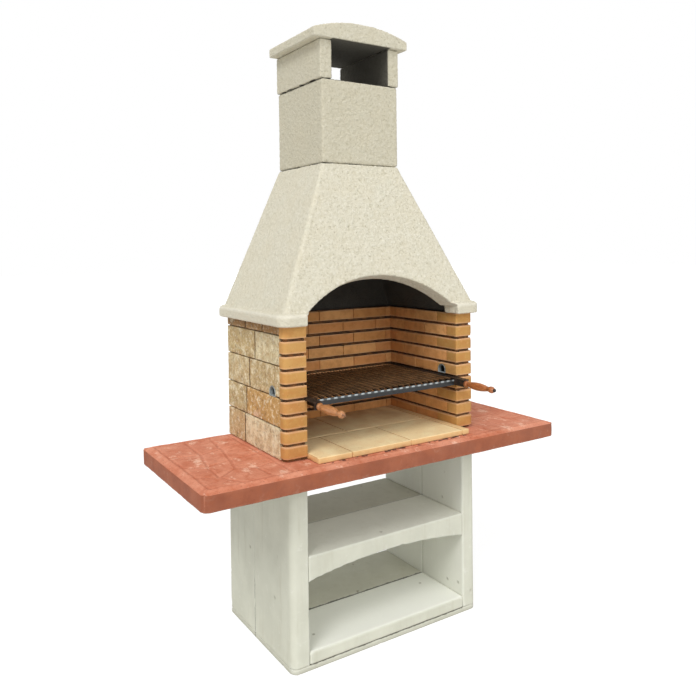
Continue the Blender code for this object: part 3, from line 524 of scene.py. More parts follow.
def render_finish():
    """Sprayed cream render: fine grain with pale flecks of painted highlight and small dark pinholes of
    painted shade, painted shade in its hollows and painted light on its peaks, faint stains, painted
    highlight on its arrises, smoke stain with painted shade in the cavity and the flue, and open bedding
    joints drawn as dark lines of painted shade.
    """
    f = Finish("render", 0.92)
    # Painted shade and light: the relief share makes the colour darker in the stucco's hollows and paler on
    # its peaks.
    f.base = f.mix("relief", (-0.9, 0.9), (208, 202, 180), (226, 221, 203))
    f.layer((0.11, 3, 0.6), (0.35, 0.7, 0.0, 0.3), (218, 208, 182))
    f.layer((0.035, 2, 0.6), (0.55, 0.8, 0.0, 0.2), (210, 214, 196))
    # Painted shade and painted highlight of the sprayed grain: dark flecks for its small shadows, pale
    # flecks for its lit tips; the grain share makes them weaker on the lip and on faces turned to the left.
    grain = f.noise(0.0078, 3, 0.65)
    f.line((172, 164, 138), (grain, (0.30, 0.42, 0.8, 0.0)), ("grain",))
    f.line((240, 236, 222), (grain, (0.56, 0.68, 0.0, 0.6)), ("grain",))
    # Painted highlight along the arrises and along the lip's shoulder.
    f.layer("arris", (0.15, 0.8, 0.0, 0.5), (240, 235, 220))
    f.layer("shade", None, (186, 178, 152))
    # Smoke stain with painted shade: near black in the hood's cavity, in the flue, under the cap and on the
    # cheeks' inner faces.
    f.layer("soot", None, f.mix((0.05, 3, 0.6), None, (22, 21, 20), (58, 55, 50)))
    # Dark lines of painted shade at the open joints over the hood and over the chimney block.
    height = f.sum(f.split()[2], f.times(f.noise(0.03, 3, 0.6), 0.006))
    for joint in (HOOD[1].z, CHIMNEY[1].z):
        thin = f.read((0.05, 3, 0.6), (0.36, 0.56, 0.0, 0.0016))
        away = f.maths("SUBTRACT", f.away(height, joint + 0.003), thin)
        f.layer(away, (-0.0010, 0.0008, 0.95, 0.0), (44, 38, 30))
    return f.done(f.sum(grain, f.noise(0.014, 2, 0.6)), 0.0048, 0.85)


def concrete_finish():
    """Smooth cast off-white concrete: faint upright streaks, few air holes with painted shade, open joints
    between slabs drawn as dark lines of painted shade, painted light on some faces, and arrises paler by
    wear and painted highlight.
    """
    f = Finish("white_concrete", 0.88)
    f.base = f.mix((0.16, 3, 0.6), (0.3, 0.7), (216, 216, 200), (206, 206, 190))
    f.layer((0.03, 4, 0.6, f.stretched((1.0, 1.0, 0.12))), (0.50, 0.74, 0.0, 0.35), (190, 187, 166))
    f.layer((0.024, 4, 0.7), (0.56, 0.78, 0.0, 0.45), (232, 232, 222))
    # pale is painted light: paler shelf tops and paler inward faces of the side panels.
    f.layer("pale", None, (242, 243, 234))
    # Painted shade in the air holes, which the bump also sinks.
    holes = f.times(f.between(f.cells(0.030), 0.02, 0.09, 1.0, 0.0), f.read((0.05, 2, 0.5), (0.70, 0.76)))
    f.layer(f.times(holes, 0.5), None, (140, 132, 110))
    # Paler along the arrises: partly wear, partly painted highlight.
    f.layer("arris", (0.1, 0.7, 0.0, 0.6), (236, 237, 228))
    # Darker towards the bottom, with painted shade in the air holes and on the tops of the rear shelf
    # slabs.
    f.layer("grime", None, (128, 120, 98))
    # Dark lines of painted shade at the open joints: between the side panels, between the shelf slabs and
    # over the base plate.
    side, slab, plate = map(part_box, ("base_side_right_front", "lower_shelf_front", "base_plate"))
    inner, outer = side[0].x, side[1].x
    across, along, up = f.split()
    across, ragged = f.away(across), f.times(f.noise(0.022, 4, 0.7), 0.006)
    uneven = f.sum(up, ragged)
    seam = f.away(f.sum(along, f.times(ragged, 1.6)), slab[1].y + 0.0048)
    f.line((52, 48, 40), (f.away(along, side[1].y), (0.0006, 0.0024, 0.9, 0.0)),
           (uneven, (0.20, 0.24, 1.0, 0.0)), (across, (outer - 0.012, outer - 0.008)))
    f.line((58, 54, 44), (seam, (0.0020, 0.0065, 0.9, 0.0)),
           (across, (inner - 0.003, inner - 0.001, 1.0, 0.0)),
           (up, (slab[1].z + 0.05, slab[1].z + 0.06, 1.0, 0.35)))
    f.line((70, 64, 52), (f.away(uneven, plate[1].z + 0.0030), (0.0004, 0.0028, 0.75, 0.0)),
           (across, (inner - 0.003, inner, 1.0, 0.0)))
    return f.done(f.maths("SUBTRACT", f.noise(0.004, 3, 0.6), f.times(holes, 2.2)), 0.0008, 0.6)


def terracotta_finish():
    """Coloured concrete: mottled orange red, paler on top along its rims and groove shoulders by wear and
    painted highlight, with painted shade on its sides and in the paving grooves and clefts.
    """
    f = Finish("terracotta_concrete", 0.82)
    f.base = f.mix((0.09, 4, 0.65), (0.3, 0.7), (198, 116, 84), (220, 148, 118))
    f.layer((0.030, 4, 0.7), (0.48, 0.70, 0.0, 0.7), (188, 100, 62))
    f.layer((0.2, 2, 0.5), (0.5, 0.72, 0.0, 0.35), (220, 152, 126))
    f.layer((0.045, 5, 0.72, f.stretched((1.0, 0.6, 1.0))), (0.56, 0.67, 0.0, 0.85), (238, 190, 164))
    # Painted shade in the paving grooves and clefts.
    f.layer("relief", (-1.0, 0.0, 0.34, 0.0), (164, 88, 60))
    # Painted shade on the sides and the front of the slab.
    f.layer("side", None, f.mix((0.06, 4, 0.6), (0.3, 0.7), (132, 69, 43), (155, 87, 57)))
    f.layer("under", None, (176, 170, 160))
    # Paler along the arrises, the groove shoulders and the band along the rim's top: partly wear, partly
    # painted highlight.
    f.line((228, 156, 126), ("arris", (0.2, 0.9)), ((0.016, 3, 0.7), (0.35, 0.65, 0.0, 0.45)))
    # A dark ragged line on the worktop along the foot of the hearth tiles.
    across, along, _ = f.split()
    ragged = f.sum(along, f.times(f.noise(0.02, 3, 0.6), 0.008))
    hearth_foot_line = f.away(ragged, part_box("hearth_tile_front_2")[0].y + 0.0022)
    f.line((70, 34, 24), (hearth_foot_line, (0.0035, 0.0080, 1.0, 0.0)), ((0.024, 3, 0.6), (0.50, 0.55)),
           (f.away(across), (0.30, 0.33, 1.0, 0.0)))
    f.layer((0.007, 3, 0.65), (0.3, 0.42, 0.5, 0.0), (140, 72, 48))
    return f.done((0.007, 4, 0.65), 0.0014, 0.75)


def brick_finish():
    """Golden firebrick with a pinkish pale arris of wear and painted highlight, faint cloudy fire marks and
    pores, and smoke stain with painted shade inside the firebox.
    """
    f = Finish("firebrick", 0.86)
    f.base = f.tint()
    f.layer((0.03, 3, 0.6), (0.35, 0.7, 0.0, 0.45), (190, 124, 62))
    f.layer((0.012, 3, 0.6), (0.55, 0.8, 0.0, 0.4), (224, 180, 120))
    # Pinkish pale arris: partly wear, partly painted highlight.
    f.layer("arris", (0.25, 0.95, 0.0, 0.55), (232, 186, 146))
    f.layer((0.0035, 2, 0.6), (0.26, 0.36, 0.5, 0.0), (140, 86, 44))
    # Smoke stain with painted shade inside the firebox.
    f.layer("soot", None, (96, 62, 38))
    return f.done((0.004, 4, 0.65), 0.0007, 0.6)


def stone_finish():
    """Sandy cast stone: each stone its own tone, cloudy and pitted like travertine, with pale arrises of
    wear and painted highlight, and painted shade in its joints and along its top.
    """
    f = Finish("cast_stone", 0.9)
    clouds, pits, specks = f.noise(0.038, 5, 0.70), f.noise(0.017, 5, 0.75), f.noise(0.0075, 3, 0.7)
    f.base = f.tint()
    f.layer(clouds, (0.36, 0.54, 0.5, 0.0), (178, 138, 86))
    f.layer(clouds, (0.52, 0.64, 0.0, 0.75), (244, 232, 200))
    f.layer(pits, (0.32, 0.40, 0.85, 0.0), (124, 88, 50))
    f.layer(specks, (0.56, 0.66, 0.0, 0.75), (250, 240, 214))
    f.layer(specks, (0.31, 0.41, 0.6, 0.0), (138, 104, 64))
    # Pale arris: partly wear, partly painted highlight.
    f.layer("arris", (0.3, 1.0, 0.0, 0.25), (236, 220, 188))
    # Painted shade in the joints and along the top of the facing.
    f.layer("soot", None, (104, 78, 48))
    return f.done(f.sum(f.between(pits, 0.34, 0.50), f.noise(0.006, 4, 0.72)), 0.0024, 0.8)


def tile_finish():
    """Warm cream refractory tiles, browned towards the back by smoke stain and painted shade, with tan
    sides and edges that are partly painted shade in the joints.
    """
    f = Finish("hearth_tile", 0.85)
    f.base = f.mix((0.06, 4, 0.65), (0.3, 0.7), (254, 230, 180), (248, 216, 162))
    f.layer((0.018, 3, 0.65), (0.52, 0.78, 0.0, 0.4), (228, 190, 132))
    f.layer("side", None, f.mix((0.02, 3, 0.6), None, (216, 170, 108), (236, 198, 142)))
    # Darker tan at the edges where tiles meet: partly their own colour, partly painted shade in the joints.
    f.layer("arris", (0.3, 0.9, 0.0, 0.75), (176, 126, 76))
    # Smoke stain with painted shade, towards the back.
    f.layer("soot", None, (150, 96, 46))
    f.layer((0.005, 2, 0.6), (0.28, 0.38, 0.35, 0.0), (180, 136, 86))
    return f.done((0.005, 4, 0.65), 0.0008, 0.6)


def rust_finish():
    """Grill steel, brown with rust and burnt fat, paler along its ridges by rubbing and painted highlight,
    with painted shade deep in the channels.
    """
    f = Finish("rusted_steel", 0.6, 0.25)
    f.base = f.mix((0.03, 4, 0.65), (0.35, 0.68), (50, 37, 25), (94, 63, 38))
    f.layer((0.009, 3, 0.65), (0.50, 0.70, 0.0, 0.85), (30, 23, 18))
    up, top = f.split()[2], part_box("grill_channels")[1].z
    # Paler along the ridge tops: partly rubbed wear, partly painted highlight.
    f.line((148, 112, 74), (up, (top - 0.0034, top - 0.0002)), ((0.05, 4, 0.65), (0.32, 0.62, 0.35, 0.9)))
    # Painted shade deep in the channels.
    f.layer(up, (top - 0.0105, top - 0.0045, 0.8, 0.0), (20, 16, 12))
    f.rough(0.012, 0.42, 0.75)
    return f.done((0.004, 3, 0.7), 0.0004, 0.6)


def black_finish():
    """Blackened steel of the side rails, dusty and worn."""
    f = Finish("black_steel", 0.5, 0.6)
    f.base = f.mix((0.02, 4, 0.65), (0.4, 0.7), (46, 42, 40), (84, 64, 50))
    f.rough(0.01, 0.35, 0.65)
    return f.done((0.004, 3, 0.7), 0.0003, 0.5)


def zinc(f):
    """Galvanised sheet with its crystals and dark stains."""
    f.base = f.mix((0.04, 3, 0.6), None, (84, 92, 100), (128, 138, 146))
    f.layer(f.cells(0.011), (0.2, 0.8, 0.0, 0.35), (150, 158, 164))
    f.layer((0.02, 4, 0.7), (0.50, 0.70, 0.0, 0.8), (66, 56, 48))
    f.rough(0.015, 0.3, 0.6)


def gutter_finish():
    """Galvanised gutter: dark with fat, with painted highlights on its rim where each channel drains over
    it.
    """
    f = Finish("gutter_steel", 0.45, 0.4)
    zinc(f)
    f.layer(0.92, None, f.mix((0.03, 4, 0.65), None, (20, 20, 20), (50, 49, 47)))
    across, _, up = f.split()
    # Painted highlight: bright dashes along the rim, one for each channel.
    channel_glints = f.maths("COSINE", f.times(across, 2 * math.pi / CHANNEL_PITCH))
    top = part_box("grill_gutter")[1].z
    f.line((178, 186, 188), (up, (top - 0.0075, top - 0.0035)), (channel_glints, (-0.5, 0.6, 0.15, 1.0)))
    return f.done((0.006, 3, 0.6), 0.0003, 0.5)


def sleeve_finish():
    """Galvanised sleeve of a spit hole: bright at its mouths, partly zinc and partly painted highlight, and
    black inside with painted shade.
    """
    f = Finish("sleeve_steel", 0.5, 0.2)
    zinc(f)
    # Bright zinc, partly painted highlight; it stays only at the mouths.
    f.layer(0.55, None, (196, 204, 200))
    low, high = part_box("spit_sleeve_right")
    # Painted shade: black deep inside the sleeve.
    depth, reach = f.away(f.away(f.split()[0]), (low.x + high.x) / 2), (high.x - low.x) / 2
    f.layer(depth, (reach - 0.020, reach - 0.008, 1.0, 0.0), (18, 17, 16))
    return f.done((0.006, 3, 0.6), 0.0003, 0.5)


def worn_nut_finish():
    """Cap nut with its blacking worn to brown."""
    f = Finish("worn_nut", 0.5, 0.3)
    f.base = f.mix((0.006, 3, 0.6), (0.35, 0.65), (96, 66, 46), (170, 118, 78))
    return f.done((0.003, 2, 0.6), 0.0002, 0.5)


def wood_finish(name, light, dark):
    """Turned and varnished wood, grain running along the handle."""
    f = Finish(name, 0.42)
    grain = f.noise(0.0035, 4, 0.6, f.stretched((1.0, 0.09, 1.0)))
    rings = f.node("ShaderNodeTexWave", {
        "Vector": f.stretched((1.0, 0.06, 1.0)), "Scale": 95.0, "Distortion": 4.0, "Detail": 2.0,
    }, wave_type="RINGS", rings_direction="Y")[1]
    f.base = f.mix(grain, (0.3, 0.7), dark, light)
    f.layer(f.times(rings, 0.3), None, dark)
    f.layer("char", None, (58, 34, 22))
    f.shader.inputs["Coat Weight"].default_value = 0.25
    f.shader.inputs["Coat Roughness"].default_value = 0.3
    return f.done(grain, 0.0003, 0.4)


RENDER = render_finish()
CONCRETE = concrete_finish()
TERRACOTTA = terracotta_finish()
BRICK = brick_finish()
STONE = stone_finish()
TILE = tile_finish()
RUST = rust_finish()
BLACK = black_finish()
GUTTER = gutter_finish()
SLEEVE = sleeve_finish()
WORN_NUT = worn_nut_finish()
WOOD = {
    "left": wood_finish("turned_wood_left", (206, 146, 94), (164, 106, 60)),
    "right": wood_finish("turned_wood_right", (196, 122, 70), (150, 84, 44)),
}


# Wear of the surfaces, in metres

def bumps(points, *waves):
    """The sum of several noises, each given by its height, size, seed and octaves."""
    return sum(height * noise(points, *wave) for height, *wave in waves)


def chips(points, edge, depth, size, seed, low, high):
    """Depth of the chips along the edges."""
    return ramp(noise(points, size, seed, 2), low, high) * edge * depth


def pits(points, depth, size, seed, reach, growth, soft, rare):
    """Depth of scattered round holes."""
    away, own = scattered(points, size, seed)
    return ramp(1 - away / (reach + growth * own), 0.0, soft) * (own > rare) * depth


# Base of cast concrete

CONCRETE_VOXEL = 0.005
AIR_HOLE = 0.0022
# Painted light: how much paler the tops of the front shelf slabs are painted.
PAINTED_LIGHT_TOP = {"lower_shelf_front": 0.85, "upper_shelf_front": 0.3}
# Painted shade: how much darker the tops of the rear shelf slabs are painted.
PAINTED_SHADE_TOP = {"lower_shelf_rear": 0.22, "upper_shelf_rear": 0.32}


def base_piece(node):
    """Cast concrete: nearly flat, with chipped arrises and a few larger air holes."""
    mesh, points, normals, arris = skin(node, CONCRETE_VOXEL)
    wave = bumps(points, (0.0005, 0.11, 3, 2), (0.0002, 0.012, 4, 2))
    chipped = chips(points, ramp(arris, 0.12, 0.5), 0.0032, 0.02, 5, 0.25, 0.75)
    holes = pits(points, AIR_HOLE, 0.034, 6, 0.10, 0.12, 0.6, 0.94)
    write_points(mesh, points + normals * (wave - chipped - holes)[:, None])
    floor = ramp(-points[:, 2], -0.03, -0.002)
    upward = ramp(normals[:, 2], 0.6, 0.9)
    # Painted light on the front shelf tops and on the side panels' inward faces.
    pale = PAINTED_LIGHT_TOP.get(node, 0.0) * upward
    if node.startswith("base_side"):
        pale = 0.5 * ramp(-np.sign(points[:, 0]) * normals[:, 0], 0.6, 0.9)
    # Darker towards the bottom, plus painted shade in the air holes and on the rear slabs' tops.
    grime = 0.3 * floor + 0.7 * holes / AIR_HOLE + PAINTED_SHADE_TOP.get(node, 0.0) * upward
    set_values(mesh, arris=arris, pale=pale, grime=np.clip(grime, 0, 1))
    show(node + "_cast", mesh, CONCRETE, "masonry", node)


for node in sorted(NODES):
    if node.startswith(("base_", "lower_shelf", "upper_shelf")):
        base_piece(node)


# Worktop

RIM = 0.034
WING_GAP = 0.0125
WORKTOP_EDGE, WORKTOP_CORNER, WORKTOP_CELL = 0.010, 0.022, (0.0042, 0.0042, 0.008)
GROOVE_DEPTH, CLEFT_DEPTH, RIM_DROP, PAVER_LEAN = 0.0034, 0.0013, 0.0095, 0.010
PAVING_POINTS = (
    (1.0, 0.0), (0.607, 0.0), (0.255, 0.0), (0.0, 0.0),
    (1.0, 0.232), (0.761, 0.15), (0.494, 0.26), (0.282, 0.214), (0.0, 0.25),
    (1.0, 0.443), (0.744, 0.379), (0.419, 0.434), (0.0, 0.471),
    (1.0, 0.70), (0.641, 0.636), (0.333, 0.691), (0.0, 0.728),
    (1.0, 1.0), (0.607, 1.0), (0.265, 1.0), (0.0, 1.0),
)
PAVING_CORNERS = (
    (0, 4, 5, 1), (1, 5, 6, 7, 2), (2, 7, 8, 3), (4, 9, 10, 5), (5, 10, 11, 6), (6, 11, 12, 8, 7),
    (9, 13, 14, 10), (10, 14, 15, 11), (11, 15, 16, 12), (13, 17, 18, 14), (14, 18, 19, 15),
    (15, 19, 20, 16),
)
PAVER_COLUMNS = (0.0, 0.34, 0.67, 1.0)
PAVER_ROWS = ((0.0, 0.19, 0.56, 0.93, 1.0), (0.0, 0.375, 0.745, 1.0), (0.0, 0.19, 0.56, 0.93, 1.0))


def wing_stones():
    """Corners of every paving stone, on the left wing and on the right one."""
    low, high = WORKTOP
    inner = WALL_OUTER + WING_GAP
    width, start = high.x - RIM - inner, low.y + RIM
    length = high.y - RIM - start
    stones = [[PAVING_POINTS[i] for i in corners] for corners in PAVING_CORNERS]
    stones = [[(-inner - u * width, start + v * length) for u, v in spots] for spots in stones]
    for near, far, rows in zip(PAVER_COLUMNS, PAVER_COLUMNS[1:], PAVER_ROWS):
        for first, last in zip(rows, rows[1:]):
            spots = ((near, first), (far, first), (far, last), (near, last))
            stones.append([(inner + u * width, start + v * length) for u, v in spots])
    return stones


def to_segment(points, a, b):
    """Distance in plan from each point to a line between two points."""
    a, b = np.array(a), np.array(b)
    along = b - a
    share = np.clip(((points - a) @ along) / (along @ along), 0, 1)
    return np.linalg.norm(points - a - share[:, None] * along, axis=1)


def worktop_piece():
    """A slab with round corners and sloping rims, and a shallow paving relief on both wings."""
    low, high = WORKTOP
    points, faces, outward, edge = block(low, high, WORKTOP_EDGE, WORKTOP_CELL, WORKTOP_CORNER)
    top = ramp(outward[:, 2], 0.2, 0.9)
    level = np.linalg.norm(outward[:, :2], axis=1)
    squarer = (np.maximum(0.5, np.maximum(level, -outward[:, 2])) ** -0.8 - 1) * (outward[:, 2] < 0)
    points = points + outward * (WORKTOP_EDGE * squarer)[:, None]
    flat = points[:, :2] + 0.004 * np.stack([noise(points, 0.03, seed, 2) for seed in (11, 12)], axis=1)
    inner, front = WALL_OUTER + WING_GAP, low.y + RIM
    joint = np.minimum(1.0, to_segment(flat, (-inner, front), (inner, front)))
    tilt = np.zeros(len(points))
    for number, corners in enumerate(wing_stones()):
        inside = np.ones(len(points), bool)
        sides = list(zip(corners, corners[1:] + corners[:1]))
        area = sum(a[0] * b[1] - b[0] * a[1] for a, b in sides)
        for a, b in sides:
            joint = np.minimum(joint, to_segment(flat, a, b))
            cross = (b[0] - a[0]) * (flat[:, 1] - a[1]) - (b[1] - a[1]) * (flat[:, 0] - a[0])
            inside &= cross * area > 0
        lean = np.array([math.sin(number * 2.4), math.cos(number * 1.7)]) * PAVER_LEAN
        centre = np.mean(corners, axis=0)
        tilt[inside] = ((flat[inside] - centre) @ lean) - 0.0006 * (1 + math.sin(number * 5.1))
    groove = 1 - ramp(joint, 0.0010, 0.0062)
    # shoulder: a band beside each groove that gets a painted highlight.
    shoulder = ramp(joint, 0.003, 0.006) * (1 - ramp(joint, 0.008, 0.016))
    from_edge = np.minimum.reduce([
        points[:, 0] - low.x, high.x - points[:, 0], points[:, 1] - low.y, high.y - points[:, 1]])
    slope = (1 - ramp(from_edge, 0.004, 0.030)) * RIM_DROP
    rough = bumps(points, (0.0009, 0.022, 13, 3), (0.0005, 0.07, 14, 2))
    in_wing = ramp(np.abs(points[:, 0]), WALL_OUTER - 0.01, WALL_OUTER + 0.01)
    cleft = CLEFT_DEPTH * np.abs(noise(points * (1, 2.2, 1), 0.05, 15, 3)) * in_wing
    sink = top * (GROOVE_DEPTH * groove + slope + cleft - tilt - 0.0004)
    chipped = chips(points, edge, 0.0025, 0.018, 16, 0.3, 0.8) * (outward[:, 2] > -0.2)
    points = points + outward * np.minimum(0, rough - 0.0005 - chipped)[:, None]
    points[:, 2] -= np.clip(sink, 0, None)
    mesh = make_mesh("worktop", points, faces)
    # A band along the top of the rim that gets a painted highlight.
    rim_highlight = ramp(from_edge, 0.012, 0.022) * (1 - ramp(from_edge, 0.024, 0.034))
    # arris carries painted highlight, partly wear, on the rims, the groove shoulders and the band along the
    # rim's top; side is painted shade on the slab's sides; relief is painted shade in the grooves and
    # clefts.
    set_values(
        mesh, arris=np.clip(edge * 0.6 + 0.75 * top * shoulder + top * rim_highlight, 0, 1),
        side=0.85 * (1 - ramp(outward[:, 2], 0.1, 0.7)), under=0.9 * ramp(-outward[:, 2], 0.7, 0.95),
        relief=-groove * top - 0.4 * top * ramp(cleft, 0.0004, 0.0010),
    )
    show("worktop_cast", mesh, TERRACOTTA, "masonry", "worktop")


worktop_piece()


# Firebox

FRONT_BUTT, BUTT_SHIFT, SIDE_PITCH = 0.115, 0.078, 0.136
BACK_BUTT, BACK_SHIFT, BACK_PITCH = 0.137, -0.053, 0.167
JOINT = 0.0011
BED_SETBACK, BUTT_SETBACK = 0.0118, 0.0052
CORNER_REACH = 0.0250
WALL_CORNER, END_CORNER, BRICK_CORNER, BED_CORNER = 0.002, 0.018, 0.0015, 0.001
BRICK_EDGE, BRICK_CELL, BED_EDGE, BED_CELL = 0.0022, 0.009, 0.0015, 0.006
SPIT_COURSE, LAST_COURSE = 4, 8
BACK_WALL_TONES = 7
COLUMN_TONES = ((200, 151, 84), (193, 145, 78), (204, 156, 90), (198, 145, 82))
# Painted light: the inside bricks are painted lighter than the end bricks of the same firebrick.
INSIDE_TONES_PAINTED_LIGHTER = ((238, 172, 106), (228, 162, 95), (240, 178, 112), (232, 166, 104), (224, 156, 94))
# Dark brown: partly the mortar's colour, partly painted shade in the recessed joints.
MORTAR_AND_SHADE_TONE = np.array((0.1, 0.06, 0.03))


def shake(*numbers):
    """A steady share from 0 to 1 for a few whole numbers."""
    cell = np.array([list(numbers) + [0] * (3 - len(numbers))], float)
    return float(hashed(cell, 99)[0])


def wall_soot_and_shade(points):
    """Smoke stain with painted shade on the inside faces, most under the hood and at the back."""
    inside = (np.abs(points[:, 0]) < WALL_INNER + 0.012) & (points[:, 1] > FIREBOX_FRONT + 0.012)
    depth = ramp(points[:, 1], FIREBOX_FRONT, FIREBOX_BACK - 0.05)
    height = ramp(points[:, 2], WORKTOP_TOP - 0.05, WORKTOP_TOP + 0.48)
    back = ramp(points[:, 1], FIREBOX_BACK - 0.055, FIREBOX_BACK - 0.035)
    cloud = 0.75 + 0.5 * noise(points, 0.09, 25, 2)
    return np.clip(inside * (0.01 + 0.04 * depth + 0.06 * height + 0.03 * back) * cloud, 0, 0.75)


def brick_tone(*numbers):
    """The end bricks of the side walls are golden and alike; those inside are a more orange tone, differ
    more, and are painted lighter, which is painted light inside the firebox.
    """
    tones = COLUMN_TONES if numbers[1] == 1 and numbers[2] < 2 else INSIDE_TONES_PAINTED_LIGHTER
    pick = tones[int(shake(*numbers) * 0.999 * len(tones))]
    lift = 0.96 + 0.08 * shake(numbers[0] + 5, *numbers[1:])
    return np.array([channel * lift for channel in linear(*pick)])


def add_brick(gather, corners, course, *place):
    """A brick of a course, over a plan; its tone goes by its place."""
    low = WORKTOP_TOP + course * COURSE
    plan, outward = rounded_plan(corners, BRICK_CELL)
    points, faces, direction, edge = prism(plan, outward, low + BED, low + COURSE, BRICK_EDGE, BRICK_CELL)
    rough = bumps(points, (0.00035, 0.011, 21, 2), (0.0006, 0.05, 22, 1))
    level = 1 - np.abs(direction[:, 2])
    move = np.minimum(0, rough - 0.0007) * level - chips(points, edge, 0.0034, 0.016, 23, 0.30, 0.85)
    points = points + direction * move[:, None]
    gather.add(points, faces, tint=brick_tone(course, *place), arris=edge, soot=wall_soot_and_shade(points))


def add_bed(gather, corners, low, high, setback):
    """Mortar of a course, set back behind its bricks."""
    plan, outward = rounded_plan(corners, 0.011)
    plan = plan - outward * setback
    points, faces, direction, _ = prism(plan, outward, low, high, BED_EDGE, BED_CELL)
    level = 1 - np.abs(direction[:, 2])
    points = points + direction * (level * (0.0012 * noise(points, 0.016, 24, 2) - 0.0008))[:, None]
    gather.add(points, faces, tint=MORTAR_AND_SHADE_TONE, arris=0.0, soot=0.0)


def beds(course, lift):
    """Foot, top and setback of the mortar under the bricks, between them and, at the end, over them."""
    low = WORKTOP_TOP + course * COURSE
    brick_low, brick_high = low + BED, low + COURSE
    rows = [(low + lift, brick_low + 0.001, BED_SETBACK),
            (brick_low - 0.0005, brick_high - 0.001, BUTT_SETBACK)]
    if course == LAST_COURSE:
        rows.append((brick_high - 0.002, HOOD[0].z + 0.0022, BED_SETBACK))
    return rows


def butts(first, shift, pitch, low, high, course):
    """Where two bricks of a course meet, between low and high."""
    start = first + shift * (course % 2)
    places = [start + k * pitch for k in range(-8, 9)]
    return [place for place in places if low < place < high]


def oblong(left, right, front, back, radius):
    return [(left, front, radius), (right, front, radius), (right, back, radius), (left, back, radius)]


def mirrored(corners):
    """The corners of a plan on the other side of the barbecue, still anticlockwise."""
    return [(-x, y, radius) for x, y, radius in reversed(corners)]


def side_course(wall, course):
    """A course of a side wall: its end brick fills the shoulder in front of the stone facing."""
    front, back, inner, outer = FIREBOX_FRONT, FIREBOX_BACK, WALL_INNER, WALL_OUTER
    leaf, shoulder = LEAF_OUTER - FIT, SHOULDER - FIT
    side, flip = (0, mirrored) if wall == "left" else (1, list)
    gather = Gather(wall if course == SPIT_COURSE else None)
    ends = butts(front + FRONT_BUTT, BUTT_SHIFT, SIDE_PITCH, front + 0.012, back - 0.052, course) + [back]
    head = [(inner, front, WALL_CORNER), (outer, front, END_CORNER), (outer, shoulder, WALL_CORNER),
            (leaf, shoulder, 0.0)]

    def to(end, corner):
        return flip(head + [(leaf, end, corner), (inner, end, corner)])

    add_brick(gather, to(ends[0] - JOINT / 2, BRICK_CORNER), course, 1, side)
    for number, (start, end) in enumerate(zip(ends, ends[1:])):
        stop = end - (JOINT / 2 if end != back else 0.0)
        corners = flip(oblong(inner, leaf, start + JOINT / 2, stop, BRICK_CORNER))
        add_brick(gather, corners, course, number + 2, side)
    for row in beds(course, FIT if course else 2 * FIT):
        add_bed(gather, to(back, BED_CORNER), *row)
    name = f"brick_{wall}_{course + 1}"
    show(name + "_laid", gather.mesh(name), BRICK, "masonry", name)


def back_course(course):
    """A course of the back wall, whose lowest mortar reaches into the corners."""
    half, front, back = WALL_INNER - FIT, BACK_WALL[0].y, FIREBOX_BACK
    gather = Gather()
    edges = [-half] + butts(BACK_BUTT, BACK_SHIFT, BACK_PITCH, -half + 0.02, half - 0.02, course) + [half]
    for number, (start, end) in enumerate(zip(edges, edges[1:])):
        start += JOINT / 2 if start != -half else 0.0
        end -= JOINT / 2 if end != half else 0.0
        add_brick(gather, oblong(start, end, front, back, BRICK_CORNER), course, number, BACK_WALL_TONES)
    for reach, row in zip((half + CORNER_REACH, half, half), beds(course, 2 * FIT)):
        add_bed(gather, oblong(-reach, reach, front, back, BED_CORNER), *row)
    name = f"brick_back_{course + 1}"
    show(name + "_laid", gather.mesh(name), BRICK, "masonry", name)


for course in range(LAST_COURSE + 1):
    side_course("left", course)
    side_course("right", course)
    back_course(course)


# Stone facing

STONE_ROWS = (0.0, 0.244, 0.467, 0.704, 0.933, 1.0)
STONE_SPLITS = ((0.0, 0.647, 1.0), (0.0, 0.612, 1.0), (0.0, 0.547, 1.0), (0.0, 0.437, 1.0),
                (0.0, 0.298, 0.62, 1.0))
STONE_TONES = (
    ((234, 216, 176), (208, 178, 130)),
    ((206, 162, 96), (197, 175, 127)),
    ((203, 180, 133), (209, 188, 143)),
    ((219, 204, 163), (204, 181, 132)),
    ((180, 136, 84), (188, 146, 94), (172, 132, 84)),
)
STONE_EDGE, STONE_CELL = 0.0030, 0.0065
CORE_SETBACK, CORE_EDGE, CORE_CELL = 0.0085, 0.001, 0.012
STONE_GAP = 0.0011
UPRIGHT_GAP = STONE_GAP * 1.3
BLUSHED = (1, 0)


